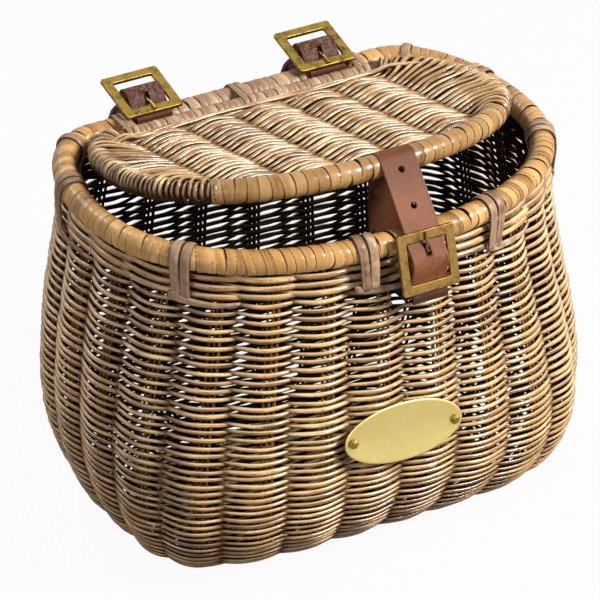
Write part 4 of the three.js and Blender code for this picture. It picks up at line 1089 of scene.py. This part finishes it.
def bands_object(name, bands, material):
    """One object from several bands."""
    vertices, faces, values = [], [], {"across": [], "around": [], "tone": []}
    start = 0
    for points, polygons, numbers in bands:
        vertices.append(points)
        faces += [tuple(start + i for i in polygon) for polygon in polygons]
        for key in values:
            values[key].append(numbers[key])
        start += len(points)
    piece = object_from(name, np.concatenate(vertices), faces, material)
    for key, parts in values.items():
        layer = piece.data.attributes.new(key, "FLOAT", "POINT")
        layer.data.foreach_set("value", np.concatenate(parts).astype(np.float32))
    face_outward(piece.data)
    return piece


def smooth_path(points, steps):
    """A smooth curve through a few points."""
    points = np.asarray(points, float)
    padded = np.concatenate([2 * points[:1] - points[1:2], points, 2 * points[-1:] - points[-2:-1]])
    result = []
    for i in range(len(points) - 1):
        a, b, c, d = padded[i:i + 4]
        for t in np.linspace(0, 1, steps, endpoint=False):
            result.append(0.5 * (2 * b + (c - a) * t + (2 * a - 5 * b + 4 * c - d) * t ** 2
                                 + (3 * b - a - 3 * c + d) * t ** 3))
    result.append(points[-1])
    return np.array(result)


def along_path(path, side):
    """Outward directions of a band that lies along a path, across its side direction."""
    return unit(np.cross(side, np.gradient(path, axis=0)))


# A lashing's name, its x on the rim, whether it is on the front, and its width
LASHINGS = [
    ("rim_lashing_left", -147, False, 14.0), ("rim_lashing_front_left", -127, True, 14.0),
    ("rim_lashing_front", -27.5, True, 14.0), ("rim_lashing_front_right", 65, True, 14.0),
    ("rim_lashing_right", 142, True, 14.0), ("rim_lashing_right_rear", 147, False, 14.0),
    ("rim_lashing_back_left", -122, False, 7.0), ("rim_lashing_back_right", 122, False, 7.0),
]
# Points of a lashing beside the rim, as distances outward and up from the rim's middle
LASHING_OUTSIDE = [(7.6, -25.0), (8.4, -16.0), (9.2, -6.0)]
LASHING_INSIDE = [(-7.6, -6.0), (-4.8, -13.0), (-4.5, -22.0)]
HINGE_LOOPS = [("hinge_loop_left", -84.0), ("hinge_loop_middle", 0.0), ("hinge_loop_right", 84.0)]


class BASKET_OT_lashings(bpy.types.Operator):
    """Lash the rim to the wall with flat strips and loop the lid's bar to the rim"""

    bl_idname = "basket.lashings"
    bl_label = "Lashings and hinge loops"

    def execute(self, context):
        grey = material_named("grey_cane")
        angles = np.radians(np.linspace(0, 180, 15))
        bow = LASHING_REACH * np.column_stack([np.cos(angles), np.sin(angles)])
        section = np.concatenate([LASHING_OUTSIDE, bow, LASHING_INSIDE])
        for number, (name, x, on_front, width) in enumerate(LASHINGS):
            q = parameter_at(RIM_LEVEL, x, on_front)
            strips = 2 if width > DOUBLE_ABOVE else 1
            bands = []
            for strip in range(strips):
                shift = (strip - (strips - 1) / 2) * width / strips
                place, tangent, out = (a[0] for a in outline_frames(RIM_LEVEL, [q], RIM_HEIGHT))
                lean = 0.06 * (number % 3 - 1) + 0.05 * strip
                path = np.array([place + out * n + UP * z + tangent * (shift + lean * z) for n, z in section])
                path = smooth_path(path, 3)
                side = np.tile(tangent, (len(path), 1))
                bands.append(flat_band(path, side, along_path(path, side), width / strips - LASHING_GAP,
                                       LASHING_THICKNESS, (number * 0.37 + strip * 0.3) % 1.0))
            if strips > 1:
                bands.append(self.tail(q, (number * 0.61) % 1.0))
            piece = bands_object(name + "_strips", bands, grey)
            finish_piece(piece, "basket", "grey_cane", name)
        for name, x in HINGE_LOOPS:
            turns = [self.loop(x - LOOP_SHIFT, 0.3), self.loop(x + LOOP_SHIFT, 0.7)]
            piece = bands_object(name + "_band", turns, grey)
            finish_piece(piece, "basket", "grey_cane", name)
        return {"FINISHED"}

    @staticmethod
    def tail(q, tone):
        """The strip's free end: along the wall below the rim, then in between the rods."""
        level = wall_level(RIM_HEIGHT - 28)
        outside = outline_frames(level, [q], 0.0)[2]
        share = np.linspace(0, 1, TAIL_POINTS)
        spots = q + TAIL_START - TAIL_SPAN * share
        drop = 23.0 + 7.0 * share ** 0.7 - 3.0 * share ** 3
        offset = np.interp(share, [0, 0.15, 0.7, 1.0], [3.0, 3.6, 2.6, -1.0])
        points, sides = [], []
        for spot, down, away in zip(spots, drop, offset):
            point, normal, upward = wall_surface(RIM_HEIGHT - down, np.array([spot]), 0.0)
            points.append(point[0] + normal[0] * away)
            sides.append(upward[0])
        path = np.array(points)
        side = np.array(sides)
        out = unit(np.cross(np.gradient(path, axis=0), side))
        out *= np.sign(np.sum(out * outside, axis=1, keepdims=True))
        width = TAIL_WIDTH - TAIL_NARROWING * share ** 1.5
        return flat_band(path, side, out, width, TAIL_THICKNESS, tone)

    @staticmethod
    def loop(x, tone):
        """A band round the rim and the lid's back bar."""
        rim, bar = np.array([RIM_HALF_DEPTH, RIM_HEIGHT]), np.array([HINGE_Y, HINGE_Z])
        line = bar - rim
        tilt = math.atan2(line[1], line[0])
        lift = math.acos((LOOP_RIM_REACH - LOOP_BAR_REACH) / np.linalg.norm(line))
        first = np.linspace(tilt + lift, tilt + 2 * math.pi - lift, 18)
        second = np.linspace(tilt - lift, tilt + lift, 12)
        ring = np.concatenate([rim + LOOP_RIM_REACH * np.column_stack([np.cos(first), np.sin(first)]),
                               bar + LOOP_BAR_REACH * np.column_stack([np.cos(second), np.sin(second)])])
        path = np.column_stack([np.full(len(ring), x), ring])
        side = np.tile(X_AXIS, (len(path), 1))
        ahead = np.roll(path, -1, axis=0) - np.roll(path, 1, axis=0)
        out = unit(np.cross(side, ahead))
        return flat_band(path, side, out, LOOP_WIDTH, LOOP_THICKNESS, tone, closed=True)


# Lid


# The long rods along the lid's back edge: y and height in the lid's own axes, and half length
LID_BACK_RODS = ((-10.0, 2.2, 113.0), (-13.4, 2.6, 106.0), (-11.6, 2.8, 96.0), (-9.6, -3.4, 110.0))


class BASKET_OT_lid(bpy.types.Operator):
    """Weave the lid's mat and carry its rods round the end hoop"""

    bl_idname = "basket.lid"
    bl_label = "Lid mat"

    def execute(self, context):
        weave = settings().lid
        rods = Guide()
        rib_pitch, rib_offset = weave.rib_pitch / MM, weave.rib_offset / MM
        rows = np.arange(-LID_BACK_GAP, -LID_DEPTH + 11.0, -weave.row_pitch / MM)
        valley = np.array([-2.5, 2.5]) * rib_pitch + rib_offset
        wraps = {}
        hoop_rows = [y for y in rows if y > self.front_y(LID_WRAP_CHANGE_X) + 3]
        for sign in (-1, 1):
            start = parameter_at(LID_LEVEL, sign * (LID_HALF_WIDTH - LID_CORNER + 6), False)
            end = parameter_at(LID_LEVEL, sign * LID_WRAP_CHANGE_X, True) + (1 if sign > 0 else 0)
            wraps[sign] = even_parameters(LID_LEVEL, start, end, len(hoop_rows) * 2, HOOP_SAMPLES)
        skyward, sideways = turned_by_lid([UP, Y_AXIS])
        for row, y in enumerate(rows):
            for strand in (0, 1):
                if y in hoop_rows:
                    ends = [self.wrap(wraps[s][row * 2 + strand], s, valley[(s + 1) // 2], y, weave)
                            for s in (-1, 1)]
                else:
                    ends = [self.tuck(s, y) for s in (-1, 1)]
                left, right = ends
                x = np.linspace(left[-1][0], right[-1][0], 52)[1:-1]
                middle = np.column_stack([x, np.full(len(x), y), np.zeros(len(x))])
                path = np.concatenate([left, middle, right[::-1]])
                swing = np.concatenate([np.linspace(0, 1, len(left)) ** 3, np.ones(len(middle)),
                                        np.linspace(1, 0, len(right)) ** 3])
                if y > -LID_FLAT_DEPTH:
                    swing = swing * LID_FLAT_SWING
                thick = np.concatenate([np.linspace(LID_END_GIRTH, 1, len(left)), np.ones(len(middle)),
                                        np.linspace(1, LID_END_GIRTH, len(right))])
                phase = (path[:, 0] - rib_offset) / rib_pitch + strand
                rods.line(in_lid(path), outward=skyward, across_way=sideways, phase=phase, swing=swing,
                          thick=thick, woven=swing)
        self.back_rods(rods, skyward, sideways)
        piece = grow_rods("lid_rods", rods, "pale_wicker", weave.rod_radius, 41, {
            "Twine depth": weave.twine_depth, "Twine lift": weave.twine_lift, "Sag": weave.sag, "Taper": 0.3,
            "Wander": 2.6 * MM, "Unevenness": 0.2, "Rod length": 40.0})
        finish_piece(piece, "lid", "pale_wicker", "lid_mat", "lid_end_wrap_left", "lid_end_wrap_right")
        ribs = Guide()
        for number in range(-2, 3):
            x = number * rib_pitch + rib_offset
            y = np.linspace(2 - LID_BACK_GAP, self.front_y(x) + 4, 16)
            path = np.column_stack([np.full(16, x), y, np.zeros(16)])
            # Phase 1 with no swing marks the ribs as lying behind the rods, so they carry the painted shade
            ribs.line(in_lid(path), outward=skyward, across_way=X_AXIS, phase=1.0, swing=0.0, thick=1.0,
                      woven=0.7)
        piece = grow_rods("lid_ribs", ribs, "pale_wicker", 2.0 * MM, 43, {
            "Wander": 0.4 * MM, "Unevenness": 0.1, "Rod length": 9.0}, sides=8)
        finish_piece(piece, "lid", "pale_wicker")
        dress(("lid_hoop", "lid_back_bar"), "pole")
        return {"FINISHED"}

    @staticmethod
    def front_y(x):
        """Where the lid's hoop runs at x on its front."""
        return float(outline(LID_LEVEL, parameter_at(LID_LEVEL, x, True))[0][1])

    @staticmethod
    def wrap(q, sign, edge, y, weave):
        """A rod's end: out from the last valley, over the hoop, round it and in below."""
        place, _, out = (a[0] for a in outline_frames(LID_LEVEL, [q], 0.0))
        reach = LID_CORE_RADIUS + weave.rod_radius / MM * 0.82 + 0.2
        ring = np.array([place + out * reach * math.cos(t) + UP * reach * math.sin(t)
                         for t in np.radians(np.linspace(-150, 105, 16))])
        inner = ring[0] - out * 5
        start = np.array([edge, y, 0.0])
        end = ring[-1]
        stretch = np.linalg.norm(end[:2] - start[:2])
        lead = np.array([sign, 0.0, 0.0]) * stretch * 0.45
        arrive = end - (out * 0.94 + UP * 0.18) * stretch * 0.38
        share = np.linspace(0, 1, 8)[:, None]
        fan = ((1 - share) ** 3 * start + 3 * (1 - share) ** 2 * share * (start + lead)
               + 3 * (1 - share) * share ** 2 * arrive + share ** 3 * end)
        return np.concatenate([[inner], ring, fan[::-1][1:]])

    @staticmethod
    def tuck(sign, y):
        """A rod's end that stops against the front of the hoop."""
        q = np.linspace(0.02, 0.48, 2000)
        points = outline(LID_LEVEL, q)
        side = points[(points[:, 0] * sign) > 0]
        x = float(side[np.argmin(np.abs(side[:, 1] - y)), 0])
        ends = np.array([x - sign * 2.0, x - sign * 10.0])
        return np.column_stack([ends, np.full(2, y), np.full(2, 0.0)])

    @staticmethod
    def back_rods(rods, skyward, sideways):
        """Long rods that lie along the lid's back edge and rise only beyond the rear buckles."""
        for number, (y, rise, reach) in enumerate(LID_BACK_RODS):
            x = np.linspace(-reach, reach, 60)
            bend = np.clip((np.abs(x) - 78.0) / 36.0, 0, 1) ** 2
            bowed = y - 17.0 * bend + 1.1 * np.sin(x / 21.0 + number * 2.1)
            raised = 3.0 * np.clip((np.abs(x) - 87.0) / 8.0, 0, 1)
            lifted = rise + 0.5 * np.cos(x / 17.0 + number * 1.4) + np.sign(rise) * raised
            path = np.column_stack([x, bowed, lifted])
            rods.line(in_lid(path), outward=skyward, across_way=sideways, phase=0.0, swing=0.0, thick=0.85,
                      woven=0.0)


class BASKET_OT_lid_winding(bpy.types.Operator):
    """Wind flat cane round the lid's front edge and its back bar"""

    bl_idname = "basket.lid_winding"
    bl_label = "Lid windings"

    def execute(self, context):
        bind = settings().binding
        front = Guide()
        for start, end in ((LID_WRAP_CHANGE_X, FRONT_STRAP_X + STRAP_GAP_HALF),
                           (FRONT_STRAP_X - STRAP_GAP_HALF, -LID_WRAP_CHANGE_X)):
            q = np.linspace(parameter_at(LID_LEVEL, start, True), parameter_at(LID_LEVEL, end, True), 120)
            front.line(in_lid(outline_frames(LID_LEVEL, q, 0.0)[0]))
        piece = grow_cane("lid_front_winding", front, "lid_cane", bind.lid_pitch, 7, {
            "Strip width": bind.lid_pitch * 1.22, "Tube radius": 7.5 * MM, "Crown": 0.36 * MM,
            "Overlap": 0.2 * MM, "Slant": 0.24})
        finish_piece(piece, "lid", "cane", "lid_front_binding_left", "lid_front_binding_right")
        back = Guide()
        for start, end in ((-LID_CANE_TO, -LID_CANE_FROM), (LID_CANE_FROM, LID_CANE_TO)):
            x = np.linspace(start, end, 30)
            back.line(in_lid(np.column_stack([x, np.zeros(30), np.zeros(30)])))
        piece = grow_cane("lid_back_winding", back, "grey_cane", bind.back_pitch, 9, {
            "Strip width": bind.back_pitch, "Tube radius": 4.9 * MM, "Crown": 0.4 * MM,
            "Overlap": 0.14 * MM, "Slant": 0.16})
        finish_piece(piece, "lid", "grey_cane", "lid_back_binding_left", "lid_back_binding_right")
        return {"FINISHED"}


# Belts, buckles and plate


def slice_faces(mesh, step):
    """Cuts a mesh's long faces across at even steps of x."""
    with editing(mesh) as edit:
        spots = [vertex.co.x for vertex in edit.verts]
        for x in np.arange(min(spots) + step / 2, max(spots), step):
            everything = edit.verts[:] + edit.edges[:] + edit.faces[:]
            bmesh.ops.bisect_plane(edit, geom=everything, plane_co=(x, 0, 0), plane_no=X_AXIS)


def rounded_copy(node, name, material, bevel, slices=0.0):
    """A copy of a node's solid with merged points, rounded edges and smooth faces."""
    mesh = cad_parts[node].data.copy()
    mesh.name = name
    mesh.materials.clear()
    mesh.materials.append(material)
    with editing(mesh) as edit:
        bmesh.ops.remove_doubles(edit, verts=edit.verts, dist=SOLID_MERGE)
        bmesh.ops.dissolve_limit(edit, angle_limit=FLAT_ANGLE, verts=edit.verts, edges=edit.edges)
    if "custom_normal" in mesh.attributes:
        mesh.attributes.remove(mesh.attributes["custom_normal"])
    mesh.shade_smooth()
    piece = add_object(name, mesh)
    modifier = piece.modifiers.new("Round", "BEVEL")
    modifier.width = bevel * MM
    modifier.segments = BEVEL_STEPS
    modifier.limit_method = "ANGLE"
    modifier.angle_limit = BEVEL_ANGLE
    settle(piece)
    if slices:
        slice_faces(piece.data, slices * MM)
    even = piece.modifiers.new("Even", "WEIGHTED_NORMAL")
    even.mode = "FACE_AREA_WITH_ANGLE"
    settle(piece)
    return piece


# A belt's node, the body that it rides on and its leather
BELTS = (
    ("lid_strap", "lid", "front_leather"), ("front_strap", "basket", "front_leather"),
    ("handlebar_strap_left", "basket", "rear_leather"), ("handlebar_strap_right", "basket", "rear_leather"),
)


class BASKET_OT_belts(bpy.types.Operator):
    """Round and dress the leather belts"""

    bl_idname = "basket.belts"
    bl_label = "Leather belts"

    def execute(self, context):
        for node, body, leather in BELTS:
            name = node.replace("strap", "belt")
            piece = rounded_copy(node, name, material_named(leather), BELT_BEVEL, BELT_SLICE)
            finish_piece(piece, body, "leather", node)
        return {"FINISHED"}


class BASKET_OT_metal(bpy.types.Operator):
    """Dress the buckles, prongs, rivets and screws and make the oval plate"""

    bl_idname = "basket.metal"
    bl_label = "Buckles and plate"

    def execute(self, context):
        dress(("front_prong", "front_rivet", "lid_strap_rivet_upper", "lid_strap_rivet_lower"), "old_brass")
        for side in ("left", "right"):
            dress((f"handlebar_prong_{side}", f"handlebar_rivet_{side}", f"plate_screw_{side}"), "rear_brass")
        for node, finish in (("front_buckle", "old_brass"), ("handlebar_buckle_left", "rear_brass"),
                             ("handlebar_buckle_right", "rear_brass")):
            frame_piece = rounded_copy(node, node + "_frame", material_named(finish), BUCKLE_BEVEL)
            finish_piece(frame_piece, "basket", "old_brass", node)
        low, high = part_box("badge_plate")
        middle, half = (low.y + high.y) / 2 / MM, (high.y - low.y) / 2 / MM
        rings = [(0.0, half), (0.985, half), (1.0, half - 0.25), (1.0, -half + 0.4), (0.985, -half + 0.08),
                 (0.93, -half), (0.905, -half + 0.12), (0.0, -half + 0.1)]
        sides = PLATE_SIDES
        lean, rise = math.cos(PLATE_TURN), math.sin(PLATE_TURN)
        vertices, faces = [], []
        for share, y in rings:
            inset = (1 - share) * PLATE_HALF_HEIGHT
            for k in range(sides):
                turn = 2 * math.pi * k / sides
                x = max(PLATE_HALF_LENGTH - inset, 0.0) * math.cos(turn) * min(share * 9, 1.0)
                z = max(PLATE_HALF_HEIGHT - inset, 0.0) * math.sin(turn)
                vertices.append((PLATE_X + x * lean + z * rise, middle + y, PLATE_Z + z * lean - x * rise))
        for k in range(len(rings) - 1):
            for i in range(sides):
                j = (i + 1) % sides
                faces.append((k * sides + i, k * sides + j, (k + 1) * sides + j, (k + 1) * sides + i))
        piece = object_from("oval_plate", vertices, faces, material_named("pale_brass"))
        face_outward(piece.data, PLATE_MERGE)
        finish_piece(piece, "basket", "pale_brass", "badge_plate")
        return {"FINISHED"}


# Stage


class BASKET_OT_stage(bpy.types.Operator):
    """Set the floor, the soft lights and the camera"""

    bl_idname = "basket.stage"
    bl_label = "Stage"

    def execute(self, context):
        self.camera(context)
        self.floor()
        self.world(context)
        for name, place, size in LAMPS:
            self.lamp(name + "_light", place, size, getattr(settings().stage, name))
        context.scene.view_settings.view_transform = "Standard"
        return {"FINISHED"}

    @staticmethod
    def camera(context):
        level = math.cos(VIEW_RISE)
        right = Vector((math.cos(VIEW_TURN), math.sin(VIEW_TURN), 0))
        towards = Vector((math.sin(VIEW_TURN) * level, -math.cos(VIEW_TURN) * level, math.sin(VIEW_RISE)))
        upward = towards.cross(right)
        aim = Vector((0, 0, RIM_HEIGHT * MM)) - right * VIEW_AIM_LEFT - upward * VIEW_AIM_DOWN
        camera = add_object("camera", bpy.data.cameras.new("camera"))
        camera.data.sensor_width = VIEW_SENSOR
        camera.data.lens = VIEW_LENS
        camera.data.clip_end = VIEW_END
        camera.location = aim + towards * VIEW_DISTANCE
        camera.rotation_euler = towards.to_track_quat("Z", "Y").to_euler()
        context.scene.camera = camera

    @staticmethod
    def floor():
        edit = bmesh.new()
        bmesh.ops.create_grid(edit, x_segments=2, y_segments=2, size=FLOOR_SIZE)
        mesh = bpy.data.meshes.new("floor")
        edit.to_mesh(mesh)
        edit.free()
        material, b = new_material("pale_floor")
        seen = b.add("ShaderNodeLightPath", {}, {}, "Is Camera Ray")
        bright = b.add("ShaderNodeEmission", {}, {"Color": WHITE, "Strength": 1.0})
        matt = b.add("ShaderNodeBsdfDiffuse", {}, {"Color": FLOOR_GREY})
        mixed = b.add("ShaderNodeMixShader", {}, {0: seen * FLOOR_GLOW, 1: matt, 2: bright})
        b.add("ShaderNodeOutputMaterial", {}, {"Surface": mixed})
        mesh.materials.append(material)
        floor = add_object("floor", mesh)
        floor.location.z = -FLOOR_DROP

    @staticmethod
    def world(context):
        world = bpy.data.worlds.new("studio")
        context.scene.world = world
        world.use_nodes = True
        world.node_tree.nodes.clear()
        b = Builder(world.node_tree)
        path = b.add("ShaderNodeLightPath", {}, {}, "Is Camera Ray")
        glossy = b.sibling(path, "Is Glossy Ray")
        through = b.sibling(path, "Is Transmission Ray")
        seen = b.maths("MINIMUM", path + glossy + through, 1.0)
        dim = settings().stage.ambient
        strength = seen * (1.0 - dim) + dim
        glow = b.add("ShaderNodeBackground", {}, {"Color": WHITE, "Strength": strength})
        b.add("ShaderNodeOutputWorld", {}, {"Surface": glow})

    @staticmethod
    def lamp(name, place, size, power):
        data = bpy.data.lights.new(name, "AREA")
        data.size = size
        data.energy = power
        lamp = add_object(name, data)
        lamp.location = place
        aim = LAMP_AIM - Vector(place)
        lamp.rotation_euler = aim.to_track_quat("-Z", "Y").to_euler()


# Sizes and colours that a user would change


def length(label, words, millimetres):
    return FloatProperty(name=label, description=words, default=millimetres * MM, unit="LENGTH", precision=5)


def tint(label, words, red, green, blue):
    return FloatVectorProperty(name=label, description=words, default=linear(red, green, blue)[:3],
                               subtype="COLOR", size=3, min=0.0, max=1.0)


def factor(label, words, share, most):
    return FloatProperty(name=label, description=words, default=share, subtype="FACTOR", min=0.0, max=most)


def power(label, words, watts):
    return FloatProperty(name=label, description=words, default=watts, unit="POWER", min=0.0)


class WallWeave(bpy.types.PropertyGroup):
    """Sizes of the wall's weave"""

    rod_radius: length("Rod radius", "Radius of a weaving rod", 1.62)
    row_pitch: length("Row pitch", "Distance between rows above the foot", 4.8)
    row_pitch_low: length("Low row pitch", "Distance between rows at the foot", 6.2)
    row_pitch_high: length("High row pitch", "Distance between rows at the rim", 6.2)
    tight_below: length("Tight below", "Height under which the rows close up", 70.0)
    first_row: length("First row", "Height of the lowest row", 0.3)
    below_rim: length("Below rim", "How far under the rim's middle the top row stays", 11.0)
    twine_depth: length("Twine depth", "How far rods swing in and out round a stake", 4.3)
    twine_lift: length("Twine lift", "How far rods rise and drop where they cross", 0.45)
    sag: length("Sag", "How far a rod hangs between two crossings", 0.4)
    inward: length("Inward", "How far the stakes stand inside the wall's middle", 1.4)
    lag: factor("Lag", "How far past the middle between two stakes the rods cross", 0.15, 0.5)
    taper: factor("Taper", "How much thinner a rod is at the back of a stake", 0.36, 0.9)
    wander: length("Wander", "How far rods stray from their row", 1.8)
    wale_below_rim: length("Wale depth", "How far under the rim's middle the thick rows reach", 29.0)
    wale_girth: factor("Wale girth", "Thickness of the thick rows against the other rods", 1.4, 3.0)
    stake_radius: length("Stake radius", "Radius of one of a stake's thin rods", 1.1)
    stake_spacing: length("Stake spacing", "Distance between a stake's thin rods", 3.3)


class LidWeave(bpy.types.PropertyGroup):
    """Sizes of the lid's weave"""

    rod_radius: length("Rod radius", "Radius of a lid rod", 1.62)
    row_pitch: length("Row pitch", "Distance between rows", 6.3)
    rib_pitch: length("Rib pitch", "Distance between ribs", 35.6)
    rib_offset: length("Rib offset", "Place of the middle rib", -2.2)
    twine_depth: length("Twine depth", "How far rods swing over and under a rib", 3.3)
    twine_lift: length("Twine lift", "How far rods shift sideways where they cross", 1.5)
    sag: length("Sag", "How far a rod bows forwards between two crossings; negative bows it back", -2.0)


class Binding(bpy.types.PropertyGroup):
    """Sizes of the wound cane"""

    rim_pitch: length("Rim pitch", "Width of one turn on the rim", 5.8)
    lid_pitch: length("Lid pitch", "Width of one turn on the lid's front", 6.8)
    back_pitch: length("Back pitch", "Width of one turn on the back rim and the lid's back bar", 4.0)


class Colours(bpy.types.PropertyGroup):
    """Colours of rods, cane, leather and brass"""

    rod_dark: tint("Rod dark", "Darkest rods of the wall", 92, 54, 24)
    rod_middle: tint("Rod middle", "Common rods of the wall", 182, 132, 70)
    rod_pale: tint("Rod pale", "Palest rods of the wall", 224, 186, 130)
    # Colour of the painted highlight on the rods' upper faces
    top_highlight: tint("Top highlight", "Highlighted tops of the wall's rods", 244, 216, 168)
    lid_dark: tint("Lid dark", "Darkest rods of the lid", 104, 64, 30)
    lid_middle: tint("Lid middle", "Common rods of the lid", 188, 145, 90)
    lid_pale: tint("Lid pale", "Palest rods of the lid", 231, 202, 151)
    cane_dark: tint("Cane dark", "Darkest turns of cane", 108, 66, 28)
    cane_middle: tint("Cane middle", "Common turns of cane", 184, 136, 74)
    cane_pale: tint("Cane pale", "Palest turns of cane", 208, 166, 106)
    grey_dark: tint("Grey dark", "Darkest weathered strips", 96, 64, 42)
    grey_middle: tint("Grey middle", "Common weathered strips", 154, 120, 90)
    grey_pale: tint("Grey pale", "Palest weathered strips", 196, 168, 138)
    leather: tint("Leather", "Leather of the front belt", 114, 66, 40)
    rear_leather: tint("Rear leather", "Leather of the handlebar belts", 84, 41, 21)
    brass: tint("Brass", "Worn brass of the front buckle", 152, 120, 66)
    rear_brass: tint("Rear brass", "Brass of the handlebar buckles", 166, 138, 62)
    tarnish: tint("Tarnish", "Tarnish on brass", 92, 68, 30)
    plate: tint("Plate", "Pale brass of the plate", 244, 220, 142)


class Stage(bpy.types.PropertyGroup):
    """Strengths of the lights"""

    key: power("Key light", "Power of the light from the front right", 86.0)
    fill: power("Fill light", "Power of the light from the left", 9.0)
    back: power("Back light", "Power of the light from behind", 16.0)
    ambient: FloatProperty(name="Ambient", description="Strength of the room's light", default=0.14, min=0.0)


class BasketSettings(bpy.types.PropertyGroup):
    """Everything that a user would change"""

    wall: PointerProperty(type=WallWeave)
    lid: PointerProperty(type=LidWeave)
    binding: PointerProperty(type=Binding)
    colours: PointerProperty(type=Colours)
    stage: PointerProperty(type=Stage)


OPERATORS = (BASKET_OT_stage, BASKET_OT_wall, BASKET_OT_base, BASKET_OT_rim, BASKET_OT_lashings,
             BASKET_OT_lid, BASKET_OT_lid_winding, BASKET_OT_belts, BASKET_OT_metal)


class BASKET_PT_panel(bpy.types.Panel):
    """Lists the basket's pieces"""

    bl_label = "Wicker basket"
    bl_space_type = "VIEW_3D"
    bl_region_type = "UI"
    bl_category = "Basket"

    def draw(self, context):
        for operator in OPERATORS:
            self.layout.operator(operator.bl_idname)


GROUPS = (WallWeave, LidWeave, Binding, Colours, Stage, BasketSettings)


def register():
    for group in GROUPS + OPERATORS + (BASKET_PT_panel,):
        bpy.utils.register_class(group)
    bpy.types.Scene.wicker_basket = PointerProperty(type=BasketSettings)


def unregister():
    del bpy.types.Scene.wicker_basket
    for group in reversed(GROUPS + OPERATORS + (BASKET_PT_panel,)):
        bpy.utils.unregister_class(group)


def main():
    register()
    for operator in OPERATORS:
        family, name = operator.bl_idname.split(".")
        getattr(getattr(bpy.ops, family), name)()


if __name__ == "__main__":
    main()
